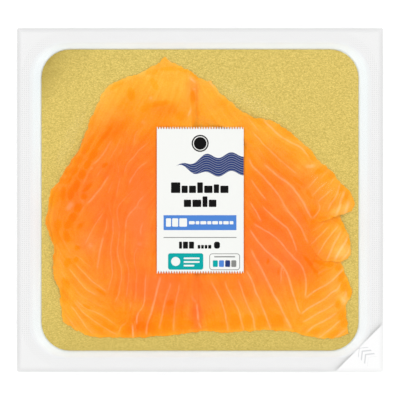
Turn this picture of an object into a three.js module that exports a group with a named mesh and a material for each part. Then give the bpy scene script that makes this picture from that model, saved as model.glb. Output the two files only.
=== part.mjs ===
// A clear-topped vacuum pack of sliced smoked salmon, lying flat with its window up.
//
// A shallow white formed web holds a gold card, and five thin slices of salmon lie on
// the card. A clear lid film is sealed to the web's rim and pressed down over the wall,
// the card and the fish. A paper label is stuck to the film, and one corner of the rim
// carries a peel tab.
//
// Millimetres, +Z up, +X to the pack's right and +Y to its top edge as it is read.
// The origin is the middle of the footprint, on the flat floor that the pack rests on.
import * as THREE from 'three';

// The pack
const PACK_WIDTH = 220;
const PACK_DEPTH = 206.7;
const PACK_CORNER = 1;
const WEB_THICKNESS = 0.5;
const RIM_HEIGHT = 5;

// The well's lip, where the rim ends, and its toe, where the wall meets the floor
const LIP = { halfWidth: 102.2, halfDepth: 94.8, corner: 22 };
const TOE = { halfWidth: 95.9, halfDepth: 91.1, corner: 17.5 };
const WALL_STEPS = 3;

// The gold card
const CARD_CLEARANCE = 0.4;
const CARD_LIFT = 0.8;
const CARD_THICKNESS = 0.6;
const CARD_TOP = CARD_LIFT + CARD_THICKNESS;

// The fish
const SLICE_THICKNESS = 2;
const SLICE_RIM = 0.6;
const SLICE_UNEVEN = 0.18;
const LAYER_GAP = 0.35;
const DRAPE = 3;

// How far in from its edge a slice is thinner: at a cut edge that shows, along the
// middle where the halves overlap, and where it is feathered onto its neighbour
const CUT_EDGE = 3.5;
const SEAM_EDGE = 4;
const FEATHERED = 10;
const HIDDEN_EDGE = 12;

// The lid film, the label and the peel tab
const FILM_THICKNESS = 0.25;
const FILM_GAP = 0.5;
const FILM_CELL = 7.4;
const FILM_REACH = 5.5;
const LABEL = { left: -25.95, right: 26.25, top: 43.9, bottom: -44.1 };
const LABEL_THICKNESS = 0.15;
const LABEL_GAP = 0.35;
const LABEL_CELL = 6.5;
const TAB_LEG = 29;
const TAB_THICKNESS = 0.15;
const TAB_GAP = 0.1;

const CORNER_SEGMENTS = 8;
const RASTER = 1;

// Small helpers

const clamp01 = (t) => Math.min(1, Math.max(0, t));
const smooth = (t) => clamp01(t) ** 2 * (3 - 2 * clamp01(t));
const mix = (a, b, t) => a + (b - a) * t;
const apart = ([ax, ay], [bx, by]) => Math.hypot(bx - ax, by - ay);

function roundedRectangle(halfWidth, halfDepth, corner) {
  const points = [];
  const centres = [[1, 1], [-1, 1], [-1, -1], [1, -1]];
  centres.forEach(([sx, sy], quarter) => {
    for (let i = 0; i <= CORNER_SEGMENTS; i += 1) {
      const angle = (quarter + i / CORNER_SEGMENTS) * Math.PI / 2;
      points.push([
        sx * (halfWidth - corner) + corner * Math.cos(angle),
        sy * (halfDepth - corner) + corner * Math.sin(angle),
      ]);
    }
  });
  return points;
}

// Distance from a rounded rectangle's edge, negative inside it
function outsideBy({ halfWidth, halfDepth, corner }, x, y) {
  const dx = Math.abs(x) - (halfWidth - corner);
  const dy = Math.abs(y) - (halfDepth - corner);
  const outer = Math.hypot(Math.max(dx, 0), Math.max(dy, 0));
  return outer + Math.min(Math.max(dx, dy), 0) - corner;
}

function distanceTo(polyline, x, y) {
  let nearest = Infinity;
  for (let i = 1; i < polyline.length; i += 1) {
    const [ax, ay] = polyline[i - 1];
    const [bx, by] = polyline[i];
    const length2 = (bx - ax) ** 2 + (by - ay) ** 2;
    const t = clamp01(((x - ax) * (bx - ax) + (y - ay) * (by - ay)) / length2);
    nearest = Math.min(nearest, Math.hypot(x - mix(ax, bx, t), y - mix(ay, by, t)));
  }
  return nearest;
}

function insideOf(outline, x, y) {
  let inside = false;
  outline.forEach(([ax, ay], i) => {
    const [bx, by] = outline[(i + 1) % outline.length];
    if ((ay > y) !== (by > y) && x < ax + (bx - ax) * (y - ay) / (by - ay)) {
      inside = !inside;
    }
  });
  return inside;
}

function solidGeometry(vertices, triangles) {
  const geometry = new THREE.BufferGeometry();
  geometry.setAttribute('position', new THREE.Float32BufferAttribute(vertices.flat(), 3));
  geometry.setIndex(triangles.flat());
  geometry.computeVertexNormals();
  return geometry;
}

// A thin solid over a grid of places, rows running from the far edge to the near one.
// Each cell is split along its shorter diagonal, in both faces alike.
function thinSolid(rows, topAt, bottomAt) {
  const across = rows[0].length;
  const places = rows.flat();
  const under = places.length;
  const vertices = [
    ...places.map(([x, y]) => [x, y, topAt(x, y)]),
    ...places.map(([x, y]) => [x, y, bottomAt(x, y)]),
  ];
  const triangles = [];
  const rim = [];
  const last = rows.length - 1;
  for (let j = 0; j < last; j += 1) {
    for (let i = 0; i < across - 1; i += 1) {
      const farLeft = j * across + i;
      const farRight = farLeft + 1;
      const nearLeft = farLeft + across;
      const nearRight = nearLeft + 1;
      const falling = apart(places[farLeft], places[nearRight]);
      const rising = apart(places[nearLeft], places[farRight]);
      const halves = falling <= rising
        ? [[farLeft, nearLeft, nearRight], [farLeft, nearRight, farRight]]
        : [[farLeft, nearLeft, farRight], [nearLeft, nearRight, farRight]];
      for (const [a, b, c] of halves) {
        triangles.push([a, b, c], [a + under, c + under, b + under]);
      }
    }
  }
  for (let j = 0; j < last; j += 1) rim.push(j * across);
  for (let i = 0; i < across - 1; i += 1) rim.push(last * across + i);
  for (let j = last; j > 0; j -= 1) rim.push(j * across + across - 1);
  for (let i = across - 1; i > 0; i -= 1) rim.push(i);
  rim.forEach((a, i) => {
    const b = rim[(i + 1) % rim.length];
    triangles.push([a + under, b + under, b], [a + under, b, a]);
  });
  return solidGeometry(vertices, triangles);
}

// A thin solid from rings of equal length, the outermost first, each { points, z }
function ringedSolid(rings, thickness) {
  const count = rings[0].points.length;
  const levels = rings.map((ring) => ring.points.map(([x, y]) => [x, y, ring.z]));
  const vertices = levels.flat();
  const middle = vertices.length;
  vertices.push([0, 0, rings[rings.length - 1].z]);
  const under = vertices.length;
  vertices.push(...vertices.map(([x, y, z]) => [x, y, z - thickness]));

  const triangles = [];
  const bothFaces = (a, b, c) => {
    triangles.push([a, b, c], [a + under, c + under, b + under]);
  };
  for (let i = 0; i < count; i += 1) {
    const next = (i + 1) % count;
    for (let level = 1; level < rings.length; level += 1) {
      const outer = (level - 1) * count;
      const inner = level * count;
      bothFaces(outer + i, outer + next, inner + next);
      bothFaces(outer + i, inner + next, inner + i);
    }
    const innermost = (rings.length - 1) * count;
    bothFaces(middle, innermost + i, innermost + next);
    triangles.push([i + under, next + under, next], [i + under, next, i]);
  }
  return solidGeometry(vertices, triangles);
}

function named(name, geometry, colour, roughness, metalness = 0) {
  const material = new THREE.MeshStandardMaterial({ color: colour, roughness, metalness });
  const mesh = new THREE.Mesh(geometry, material);
  mesh.name = name;
  return mesh;
}

// The formed web: a flat rim, a sloping wall all round and a flat floor

function webTop(x, y) {
  const pastToe = outsideBy(TOE, x, y);
  const beforeLip = -outsideBy(LIP, x, y);
  if (pastToe <= 0) return WEB_THICKNESS;
  if (beforeLip <= 0) return RIM_HEIGHT;
  return mix(WEB_THICKNESS, RIM_HEIGHT, pastToe / (pastToe + beforeLip));
}

function wallRing(t) {
  const at = (size) => mix(LIP[size], TOE[size], t);
  return {
    points: roundedRectangle(at('halfWidth'), at('halfDepth'), at('corner')),
    z: mix(RIM_HEIGHT, WEB_THICKNESS, t),
  };
}

function formedWeb() {
  const rings = [{
    points: roundedRectangle(PACK_WIDTH / 2, PACK_DEPTH / 2, PACK_CORNER),
    z: RIM_HEIGHT,
  }];
  for (let step = 0; step <= WALL_STEPS; step += 1) rings.push(wallRing(step / WALL_STEPS));
  return named('formed_web', ringedSolid(rings, WEB_THICKNESS), 0xf1f1f1, 0.35);
}

// The gold card that the fish lies on

function goldCard() {
  const outline = roundedRectangle(
    TOE.halfWidth - CARD_CLEARANCE,
    TOE.halfDepth - CARD_CLEARANCE,
    TOE.corner - CARD_CLEARANCE,
  );
  const geometry = ringedSolid([{ points: outline, z: CARD_TOP }], CARD_THICKNESS);
  return named('gold_card', geometry, 0xd8c46a, 0.45, 0.3);
}

// The slices. Each is bounded by four edges that meet at its corners: far and near run
// from left to right, left and right run from far to near. thin is how far in from the
// edge the slice is thinner.

// Towards the pack's right side the slices end in cut edges that show
const TURNS_TO_CUT = { from: 60, to: 70 };
const featheredThenCut = (x) => {
  const { from, to } = TURNS_TO_CUT;
  return mix(FEATHERED, CUT_EDGE, smooth((x - from) / (to - from)));
};

const SLICES = [
  {
    name: 'slice_under',
    cells: [20, 20],
    colour: 0xff7a3c,
    edges: {
      far: {
        thin: HIDDEN_EDGE,
        points: [[-70.8, 33.6], [-65, 40.2], [-57.1, 46.3], [-45.1, 51.7], [-33.1, 56.5],
          [-19.9, 58.3], [-6, 56.5], [9, 55.9], [24, 52.9]],
      },
      right: {
        thin: HIDDEN_EDGE,
        points: [[24, 52.9], [34.8, 43.2], [46, 30.5], [53.5, 18], [55.5, 3], [54.5, -14],
          [53.5, -32], [52, -47], [47.5, -61.3]],
      },
      near: {
        thin: HIDDEN_EDGE,
        points: [[-83, -54.8], [-71, -59], [-57.1, -62], [-42.1, -63.8], [-21.1, -63.2],
          [0, -62.6], [24, -63.2], [36, -62.9], [47.5, -61.3]],
      },
      left: {
        thin: CUT_EDGE,
        points: [[-70.8, 33.6], [-77.4, 24.4], [-84.3, 12.8], [-89.9, 6], [-90.8, -1.8],
          [-92.4, -13.3], [-90.8, -20], [-87.8, -28.3], [-87.7, -36.7], [-86.6, -47.5],
          [-83, -54.8]],
      },
    },
  },
  {
    name: 'slice_right_low',
    cells: [18, 22],
    colour: 0xff8d45,
    edges: {
      far: {
        thin: FEATHERED,
        points: [[-3.4, 56.5], [9.6, 50.5], [21, 45.1], [30.6, 37.8], [39.1, 30.6],
          [46.9, 22.8], [53.5, 15.6], [60.1, 7.2], [66.7, -1.5], [73, -8], [79, -12.5],
          [84.3, -15]],
      },
      right: {
        thin: CUT_EDGE,
        points: [[84.3, -15], [86, -23], [86.3, -31], [84.5, -37.3], [86.6, -40.3],
          [88.5, -46.8], [90.3, -54.8], [89.9, -60.2], [87.8, -64.1], [89, -72.9],
          [90.1, -81]],
      },
      near: {
        thin: CUT_EDGE,
        points: [[-2.4, -78.4], [15.3, -79.8], [29.1, -79], [42.9, -77.9], [53.7, -79],
          [61.3, -80.6], [71.3, -82.9], [79.8, -83.6], [85.1, -82.5], [90.1, -81]],
      },
      left: {
        thin: SEAM_EDGE,
        points: [[-3.4, 56.5], [-3.4, 30], [-3.2, -46.3], [-3, -60.2], [-2.4, -78.4]],
      },
    },
  },
  {
    name: 'slice_right_middle',
    cells: [8, 9],
    colour: 0xff9440,
    edges: {
      far: {
        thin: FEATHERED,
        points: [[58.9, 8.4], [66.7, 1.2], [73.3, -3], [79.9, -3], [85.3, -4.9]],
      },
      right: {
        thin: CUT_EDGE,
        points: [[85.3, -4.9], [84.5, -9.7], [86.6, -14.6], [89.3, -20.7], [91.2, -27.1],
          [90.9, -33.1], [88.2, -35.8]],
      },
      near: {
        thin: featheredThenCut,
        points: [[52.3, -2.4], [59.5, -15.7], [66.7, -27.7], [70.9, -34.3], [73.3, -36.6],
          [76.9, -36.4], [81.7, -37.6], [88.2, -35.8]],
      },
      left: {
        thin: FEATHERED,
        points: [[58.9, 8.4], [55.3, 3.6], [52.3, -2.4]],
      },
    },
  },
  {
    name: 'slice_right_high',
    cells: [34, 8],
    colour: 0xff9c40,
    edges: {
      far: {
        thin: CUT_EDGE,
        points: [[-3.4, 74.6], [2.3, 71.9], [5.7, 73.1], [8.4, 69.2], [13, 63.8],
          [17.6, 59.6], [24.9, 53.9], [32.9, 49.7], [36, 50.4], [41.4, 49.7], [49, 45.4],
          [56.7, 38.9], [65.1, 31.2], [71.3, 23.9], [77.4, 19.7], [83.5, 12.1],
          [88.2, 7.8], [92.7, 0.6]],
      },
      right: {
        thin: CUT_EDGE,
        points: [[92.7, 0.6], [93.2, -2.4], [91.2, -6.5], [87.8, -8.2], [84.3, -9.2]],
      },
      near: {
        thin: featheredThenCut,
        points: [[-3.4, 48.6], [6, 43.8], [16.8, 38.4], [25.8, 31.8], [33.6, 24.6],
          [40.9, 17.4], [47.5, 10.2], [54.1, 1.8], [60.7, -6.7], [66.7, -11.8],
          [72.1, -13.3], [78.1, -11.5], [84.3, -9.2]],
      },
      left: {
        thin: SEAM_EDGE,
        points: [[-3.4, 74.6], [-4.4, 64.9], [-4.2, 56.5], [-3.4, 48.6]],
      },
    },
  },
  {
    name: 'slice_left',
    cells: [18, 30],
    colour: 0xff9544,
    edges: {
      far: {
        thin: CUT_EDGE,
        points: [[-65.1, 51.2], [-60.5, 60.4], [-55.1, 68.8], [-49.8, 71.1], [-39, 75.7],
          [-32.9, 77.6], [-28.2, 81.1], [-23.2, 83.4], [-22.5, 86.5], [-18.3, 85.3],
          [-12.9, 80.3], [-5.3, 78.4], [-1.4, 75.4]],
      },
      right: {
        thin: SEAM_EDGE,
        points: [[-1.4, 75.4], [-1.8, 64.9], [-1.2, 54.1], [-0.6, 30], [-0.4, -18.1],
          [-0.2, -54.2], [0.4, -71], [0.8, -78.8]],
      },
      near: {
        thin: CUT_EDGE,
        points: [[-81.6, -74.4], [-74.3, -78.6], [-66.6, -81.3], [-54.3, -82.9],
          [-34.4, -82.9], [-22.1, -81.7], [-9.1, -80.2], [0.8, -78.8]],
      },
      left: {
        thin: CUT_EDGE,
        points: [[-65.1, 51.2], [-68.2, 42], [-71, 33], [-75.8, 24.6], [-81.8, 13.8],
          [-87.2, 4.2], [-89.3, -6.1], [-90.3, -14.5], [-88.4, -22.9], [-85.7, -30.7],
          [-87.3, -37.3], [-87.3, -46], [-84.3, -54.5], [-84.3, -60.2], [-83.5, -66.8],
          [-81.6, -74.4]],
      },
    },
  },
];

// An edge as a smooth curve through its points, in steps of equal length
function alongEdge(edge, steps) {
  const curve = new THREE.SplineCurve(edge.points.map(([x, y]) => new THREE.Vector2(x, y)));
  return curve.getSpacedPoints(steps).map((p) => [p.x, p.y]);
}

// A grid that follows all four edges
function gridBetween({ far, right, near, left }) {
  const across = far.length - 1;
  const down = left.length - 1;
  const rows = [];
  for (let j = 0; j <= down; j += 1) {
    const v = j / down;
    const row = [];
    for (let i = 0; i <= across; i += 1) {
      const u = i / across;
      row.push([0, 1].map((axis) => {
        const blend = mix(far[i][axis], near[i][axis], v)
          + mix(left[j][axis], right[j][axis], u);
        const corners = mix(
          mix(far[0][axis], far[across][axis], u),
          mix(near[0][axis], near[across][axis], u),
          v,
        );
        return blend - corners;
      }));
    }
    rows.push(row);
  }
  return rows;
}

// Hand-cut slices are a little uneven, in long soft waves
function uneven(x, y) {
  const WAVES = [[0.11, 0.05], [-0.06, 0.14]];
  return SLICE_UNEVEN * WAVES.reduce((sum, [a, b]) => sum + Math.sin(a * x + b * y), 0) / 2;
}

class Slice {
  constructor({ name, cells, colour, edges }) {
    this.name = name;
    this.colour = colour;
    const [across, down] = cells;
    const steps = { far: across, near: across, left: down, right: down };
    const lines = {};
    for (const side of Object.keys(steps)) lines[side] = alongEdge(edges[side], steps[side]);
    this.rows = gridBetween(lines);
    this.edges = Object.keys(steps).map((side) => ({
      line: lines[side],
      thin: edges[side].thin,
    }));
    this.outline = [
      ...lines.left.slice(0, -1),
      ...lines.near.slice(0, -1),
      ...[...lines.right].reverse().slice(0, -1),
      ...[...lines.far].reverse().slice(0, -1),
    ];
  }

  thicknessAt(x, y) {
    let share = 1;
    for (const { line, thin } of this.edges) {
      const width = typeof thin === 'function' ? thin(x) : thin;
      share *= smooth(distanceTo(line, x, y) / width);
    }
    return mix(SLICE_RIM, SLICE_THICKNESS + uneven(x, y), share);
  }

  covers(x, y) {
    return insideOf(this.outline, x, y);
  }
}

// Heights over the whole pack, held on an even raster and read between its places
class Relief {
  constructor(heightAt) {
    this.across = Math.ceil(PACK_WIDTH / RASTER) + 1;
    this.down = Math.ceil(PACK_DEPTH / RASTER) + 1;
    this.heights = Array.from({ length: this.down }, (_, j) => (
      Array.from({ length: this.across }, (__, i) => heightAt(
        i * RASTER - PACK_WIDTH / 2,
        j * RASTER - PACK_DEPTH / 2,
      ))
    ));
  }

  at(x, y) {
    const column = Math.min(clamp01((x + PACK_WIDTH / 2) / PACK_WIDTH) * PACK_WIDTH / RASTER,
      this.across - 1.001);
    const row = Math.min(clamp01((y + PACK_DEPTH / 2) / PACK_DEPTH) * PACK_DEPTH / RASTER,
      this.down - 1.001);
    const i = Math.floor(column);
    const j = Math.floor(row);
    const [near, far] = [this.heights[j], this.heights[j + 1]];
    const u = column - i;
    return mix(mix(near[i], near[i + 1], u), mix(far[i], far[i + 1], u), row - j);
  }

  // Each height becomes what combine gives for its neighbours within reach, along X
  // and then along Y
  swept(reach, combine) {
    const steps = Math.round(reach / RASTER);
    const slide = (line) => line.map((_, i) => (
      combine(line.slice(Math.max(0, i - steps), i + steps + 1))
    ));
    const turned = (table) => table[0].map((_, i) => table.map((line) => line[i]));
    const result = Object.create(this);
    result.heights = turned(turned(this.heights.map(slide)).map(slide));
    return result;
  }

  // What lies over a step bridges it in a soft ramp instead of cutting into it
  bridged(reach) {
    const highest = (values) => Math.max(...values);
    const mean = (values) => values.reduce((sum, value) => sum + value, 0) / values.length;
    return this.swept(reach, highest).swept(reach, mean);
  }
}

function salmonSlices() {
  const meshes = [];
  let pile = new Relief(() => CARD_TOP);
  for (const plan of SLICES) {
    const slice = new Slice(plan);
    const below = pile;
    const bed = below.bridged(DRAPE);
    const bottomAt = (x, y) => bed.at(x, y) + LAYER_GAP;
    const topAt = (x, y) => bottomAt(x, y) + slice.thicknessAt(x, y);
    meshes.push(named(slice.name, thinSolid(slice.rows, topAt, bottomAt), slice.colour, 0.3));
    pile = new Relief((x, y) => (slice.covers(x, y) ? topAt(x, y) : below.at(x, y)));
  }
  return { meshes, pile };
}

// The lid film: sealed to the rim, then down the wall and over the card and the fish

// Grid lines that fall on the lip and the toe, with even cells between
function filmLines(half, lip, toe) {
  const cells = Math.round(2 * toe / FILM_CELL);
  const inner = Array.from({ length: cells + 1 }, (_, i) => -toe + 2 * toe * i / cells);
  return [-half, -lip, ...inner, lip, half];
}

function lidFilm(pile) {
  const columns = filmLines(PACK_WIDTH / 2, LIP.halfWidth, TOE.halfWidth);
  const lines = filmLines(PACK_DEPTH / 2, LIP.halfDepth, TOE.halfDepth).reverse();
  const packed = new Relief((x, y) => (
    Math.max(webTop(x, y), outsideBy(TOE, x, y) < 0 ? pile.at(x, y) : 0)
  ));
  const resting = packed.bridged(FILM_REACH);
  const heights = lines.map((y) => columns.map((x) => resting.at(x, y) + FILM_GAP));
  const bottomAt = (x, y) => heights[lines.indexOf(y)][columns.indexOf(x)];
  const topAt = (x, y) => bottomAt(x, y) + FILM_THICKNESS;
  const rows = lines.map((y) => columns.map((x) => [x, y]));
  const film = named('lid_film', thinSolid(rows, topAt, bottomAt), 0xf4f6f8, 0.08);
  film.material.transparent = true;
  film.material.opacity = 0.25;

  // The film's top between its grid lines
  const cellOf = (values, value) => {
    const rising = values[0] < values[1];
    const past = values.findIndex((v) => (rising ? v > value : v < value));
    return Math.max(0, past - 1);
  };
  const filmTop = (x, y) => {
    const i = cellOf(columns, x);
    const j = cellOf(lines, y);
    const u = (x - columns[i]) / (columns[i + 1] - columns[i]);
    const v = (y - lines[j]) / (lines[j + 1] - lines[j]);
    const far = mix(heights[j][i], heights[j][i + 1], u);
    const near = mix(heights[j + 1][i], heights[j + 1][i + 1], u);
    return mix(far, near, v) + FILM_THICKNESS;
  };
  return { film, filmTop };
}

// The paper label, draped over the film

function paperLabel(filmTop) {
  const across = Math.round((LABEL.right - LABEL.left) / LABEL_CELL);
  const down = Math.round((LABEL.top - LABEL.bottom) / LABEL_CELL);
  const rows = [];
  for (let j = 0; j <= down; j += 1) {
    const y = mix(LABEL.top, LABEL.bottom, j / down);
    const row = [];
    for (let i = 0; i <= across; i += 1) row.push([mix(LABEL.left, LABEL.right, i / across), y]);
    rows.push(row);
  }
  const resting = new Relief(filmTop).bridged(DRAPE);
  const bottomAt = (x, y) => resting.at(x, y) + LABEL_GAP;
  const topAt = (x, y) => bottomAt(x, y) + LABEL_THICKNESS;
  return named('paper_label', thinSolid(rows, topAt, bottomAt), 0xf7f7f5, 0.6);
}

// The peel tab: a triangle of film over the rim's near right corner

function peelTab() {
  const right = PACK_WIDTH / 2;
  const near = -PACK_DEPTH / 2;
  const triangle = new THREE.Shape([
    new THREE.Vector2(right, near),
    new THREE.Vector2(right, near + TAB_LEG),
    new THREE.Vector2(right - TAB_LEG, near),
  ]);
  const geometry = new THREE.ExtrudeGeometry(triangle, {
    depth: TAB_THICKNESS,
    bevelEnabled: false,
  });
  geometry.translate(0, 0, RIM_HEIGHT + FILM_GAP + FILM_THICKNESS + TAB_GAP);
  return named('peel_tab', geometry, 0xf3f3f4, 0.4);
}

const pack = new THREE.Group();
const { meshes, pile } = salmonSlices();
const { film, filmTop } = lidFilm(pile);
pack.add(formedWeb(), goldCard(), ...meshes, film, paperLabel(filmTop), peelTab());

export default pack;
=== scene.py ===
"""Looks of a clear-topped vacuum pack of sliced smoked salmon on a gold card.

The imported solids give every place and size. The web, the fish, the film, the label and
the peel tab are modelled here in finer detail over those solids, and the card keeps its
own. Lengths in the tables and settings are millimetres unless a comment says pixels, and
objects are in metres.
"""

import math
from functools import partial

import bmesh
import bpy
import numpy as np
from bpy.props import FloatProperty, FloatVectorProperty, PointerProperty
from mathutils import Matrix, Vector
from mathutils.bvhtree import BVHTree


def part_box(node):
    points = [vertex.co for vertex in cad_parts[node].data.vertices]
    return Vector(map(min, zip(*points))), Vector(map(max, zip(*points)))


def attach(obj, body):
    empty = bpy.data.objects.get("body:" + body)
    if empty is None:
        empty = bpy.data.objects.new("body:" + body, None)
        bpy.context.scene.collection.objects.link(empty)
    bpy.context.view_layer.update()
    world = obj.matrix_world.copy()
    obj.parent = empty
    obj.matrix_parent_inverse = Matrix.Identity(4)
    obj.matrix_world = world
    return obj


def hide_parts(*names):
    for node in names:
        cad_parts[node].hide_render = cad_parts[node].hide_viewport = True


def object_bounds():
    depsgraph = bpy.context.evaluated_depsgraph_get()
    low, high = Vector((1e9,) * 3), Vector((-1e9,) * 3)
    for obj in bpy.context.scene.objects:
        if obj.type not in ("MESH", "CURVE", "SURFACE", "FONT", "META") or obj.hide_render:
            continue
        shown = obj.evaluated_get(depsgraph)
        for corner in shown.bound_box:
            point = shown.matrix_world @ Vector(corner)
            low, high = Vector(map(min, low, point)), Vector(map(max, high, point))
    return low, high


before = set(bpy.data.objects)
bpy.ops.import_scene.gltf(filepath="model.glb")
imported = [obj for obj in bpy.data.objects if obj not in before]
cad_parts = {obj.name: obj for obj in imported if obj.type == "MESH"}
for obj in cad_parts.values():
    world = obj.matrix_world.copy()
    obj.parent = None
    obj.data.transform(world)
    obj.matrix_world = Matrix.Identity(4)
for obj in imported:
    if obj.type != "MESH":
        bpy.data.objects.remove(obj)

bl_info = {
    "name": "Smoked salmon pack",
    "version": (1, 0, 0),
    "blender": (4, 5, 0),
    "location": "View3D > Sidebar > Salmon pack",
    "description": "Dresses the solids of a sealed pack of smoked salmon",
    "category": "Object",
}

MM = 0.001
CAD_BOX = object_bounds()


# Small helpers


def linear(code):
    """The linear red, green and blue of an sRGB hex colour."""
    shares = [int(code[i : i + 2], 16) / 255 for i in (1, 3, 5)]
    return tuple(s / 12.92 if s <= 0.04045 else ((s + 0.055) / 1.055) ** 2.4 for s in shares)


def opaque(colour):
    """A colour with its alpha, as a colour socket takes it."""
    return (*colour[:3], 1.0)


def colour_setting(name, description, code):
    return FloatVectorProperty(
        name=name,
        description=description,
        subtype="COLOR",
        min=0.0,
        max=1.0,
        default=linear(code),
    )


def length_setting(name, description, millimetres):
    return FloatProperty(
        name=name,
        description=description,
        subtype="DISTANCE",
        unit="LENGTH",
        min=0.0,
        precision=5,
        default=millimetres * MM,
    )


def share_setting(name, description, share):
    return FloatProperty(
        name=name,
        description=description,
        subtype="FACTOR",
        min=0.0,
        max=1.0,
        default=share,
    )


def add_node(tree, kind, inputs=None, **settings):
    """Adds a shader node. Each of its inputs is joined to a socket or set to a value."""
    added = tree.nodes.new(kind)
    for setting, value in settings.items():
        setattr(added, setting, value)
    for key, value in (inputs or {}).items():
        if isinstance(value, bpy.types.NodeSocket):
            tree.links.new(value, added.inputs[key])
        else:
            added.inputs[key].default_value = value
    return added


def new_material(name, see_through=False):
    """An empty node material, and the function that adds nodes to it."""
    material = bpy.data.materials.new(name)
    material.use_nodes = True
    material.node_tree.nodes.clear()
    if see_through:
        material.surface_render_method = "BLENDED"
    return material, partial(add_node, material.node_tree)


def only(*chosen):
    """Selects these objects alone, the first one active."""
    bpy.ops.object.select_all(action="DESELECT")
    for item in chosen:
        item.select_set(True)
    bpy.context.view_layer.objects.active = chosen[0]


def apply_all(piece):
    """Applies a piece's modifiers in order."""
    only(piece)
    for modifier in list(piece.modifiers):
        bpy.ops.object.modifier_apply(modifier=modifier.name)


def place_in_mesh(piece):
    """Moves a piece's place and size from its object into its mesh."""
    only(piece)
    bpy.ops.object.transform_apply(location=True, rotation=True, scale=True)


def copy_of_node(node, name):
    """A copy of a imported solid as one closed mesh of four-sided faces where it can be."""
    piece = bpy.data.objects.new(name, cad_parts[node].data.copy())
    bpy.context.scene.collection.objects.link(piece)
    only(piece)
    bpy.ops.object.mode_set(mode="EDIT")
    bpy.ops.mesh.select_all(action="SELECT")
    bpy.ops.mesh.remove_doubles(threshold=1e-6)
    flat = math.radians(30)
    bpy.ops.mesh.tris_convert_to_quads(face_threshold=flat, shape_threshold=math.pi)
    bpy.ops.object.mode_set(mode="OBJECT")
    return piece


def finish_piece(piece, material, slot, *nodes):
    """Gives a piece its material, and puts it in its nodes' place on the pack."""
    piece.data.materials.clear()
    piece.data.materials.append(material)
    only(piece)
    bpy.ops.object.shade_smooth()
    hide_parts(*nodes)
    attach(piece, "root")


def places_of(mesh):
    """A mesh's points, one row of x, y and z each."""
    places = np.empty(len(mesh.vertices) * 3, np.float32)
    mesh.vertices.foreach_get("co", places)
    return places.reshape(-1, 3).astype(float)


def move_points(mesh, points):
    """Moves a mesh's points to these places."""
    mesh.vertices.foreach_set("co", points.astype(np.float32).ravel())
    mesh.update()


def settle(piece, rounds):
    """Adds a modifier that evens out a sheet's height and leaves its outline."""
    evened = piece.modifiers.new("Settle", "SMOOTH")
    evened.factor = 0.5
    evened.iterations = rounds
    evened.use_x = False
    evened.use_y = False


def smooth(share):
    """A share from 0 to 1 with its start and end made gentle."""
    share = np.clip(share, 0.0, 1.0)
    return share * share * (3 - 2 * share)


# Settings


class WebSettings(bpy.types.PropertyGroup):
    # The white is painted bluish, against the warm light that the card throws on the wall's foot
    white: colour_setting("White", "Colour of the formed web", "#F4FBFF")
    lip: colour_setting("Lip", "Colour of the web at the top of its wall", "#EDEEEF")
    softening: length_setting("Softening", "Width of the rounding at lip and toe", 1.3)
    rim: colour_setting("Rim", "Colour of the rim, which the lid film is sealed to", "#F1F1F1")
    # The cut edge's colour is painted shade
    cut: colour_setting("Cut edge", "Colour of the rim at its cut edge", "#DCDCDC")
    # The fold's colour is a painted shadow of the raised peel tab
    fold: colour_setting("Fold", "Colour of the rim along the fold of the peel tab", "#E8E8E8")
    knurl_pitch: length_setting("Knurl pitch", "Spacing of the seal's dots", 1.26)
    seal_margin: length_setting("Seal margin", "Strip without dots at the outer edge", 2.4)
    seal_corner: length_setting("Seal corner", "Corner radius of the sealed band", 27.0)


class CardSettings(bpy.types.PropertyGroup):
    bright: colour_setting("Bright gold", "Colour of the card's bright fibres", "#FAE17E")
    dull: colour_setting("Dull gold", "Colour between the fibres", "#CBB051")
    # The shaded gold is painted shade, at the far left corner and along the near edge
    shade: colour_setting("Shaded gold", "Colour of the duller corner", "#B19A44")
    fibre: length_setting("Fibre", "Width of the fibrous grain", 0.9)


class SalmonSettings(bpy.types.PropertyGroup):
    amber: colour_setting("Amber", "Flesh where it is thinnest", "#FFC246")
    gold: colour_setting("Golden orange", "Flesh of a thin slice", "#FFAC26")
    orange: colour_setting("Orange", "Flesh of one slice", "#FF9212")
    deep: colour_setting("Deep orange", "Flesh where two slices lie", "#FF7F0A")
    coral: colour_setting("Coral", "Flesh at its thickest and reddest", "#FF700E")
    fat: colour_setting("Fat", "Fat and milky flesh where the flesh is red", "#FFB284")
    thin_fat: colour_setting("Thin fat", "The same where the flesh is amber", "#FFE2A0")
    line_share: share_setting("Line share", "How much of the fat's colour a strong line has", 0.3)
    glow_share: share_setting(
        "Glow share",
        "The same beside it, where the sheet of fat slopes away under the flesh",
        0.055,
    )
    # The dark cells hold painted shade in hollows and painted shadow under slice edges as well
    cell_and_shadow_depth: share_setting("Cell depth", "How much less milky the dark cells are", 0.22)
    cell_and_shadow_redness: share_setting("Cell redness", "How much redder the dark cells are", 0.1)
    doming: length_setting("Doming", "How far a muscle block swells", 0.12)
    ragged: length_setting("Ragged edge", "How far a torn edge strays", 0.8)
    thin_edge: length_setting("Thin edge", "Width of the yellower margin of a slice", 1.3)


class FilmSettings(bpy.types.PropertyGroup):
    sheen: share_setting("Sheen", "How much each face of the film mirrors at a grazing slant", 0.06)
    gloss: share_setting(
        "Gloss",
        "Share of light that the film mirrors when seen straight on",
        0.003,
    )
    clear: colour_setting("Clear", "What each face of the film lets through", "#F8F8F8")
    wrinkle: length_setting("Wrinkle", "Size of the film's soft wrinkles", 9.0)
    gap: length_setting("Gap", "Space between the film and the fish under it", 0.7)
    pull: length_setting("Pull", "How far at most the vacuum draws the film down", 1.2)


class LabelSettings(bpy.types.PropertyGroup):
    paper: colour_setting("Paper", "Colour of the label's paper", "#D5D6D3")
    black: colour_setting("Black", "Darkest ink", "#070707")
    navy: colour_setting("Navy", "Ink of the wave bands", "#203265")
    blue: colour_setting("Blue", "Ink of the wide band", "#4475BB")
    grey: colour_setting("Grey", "Ink of the thin lines", "#767774")
    teal: colour_setting("Teal", "Ink of the small box", "#009190")
    tooth: length_setting("Tooth", "Spacing of the pinked teeth", 1.6)
    bite: length_setting("Bite", "Depth of the pinked teeth", 1.3)


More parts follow.
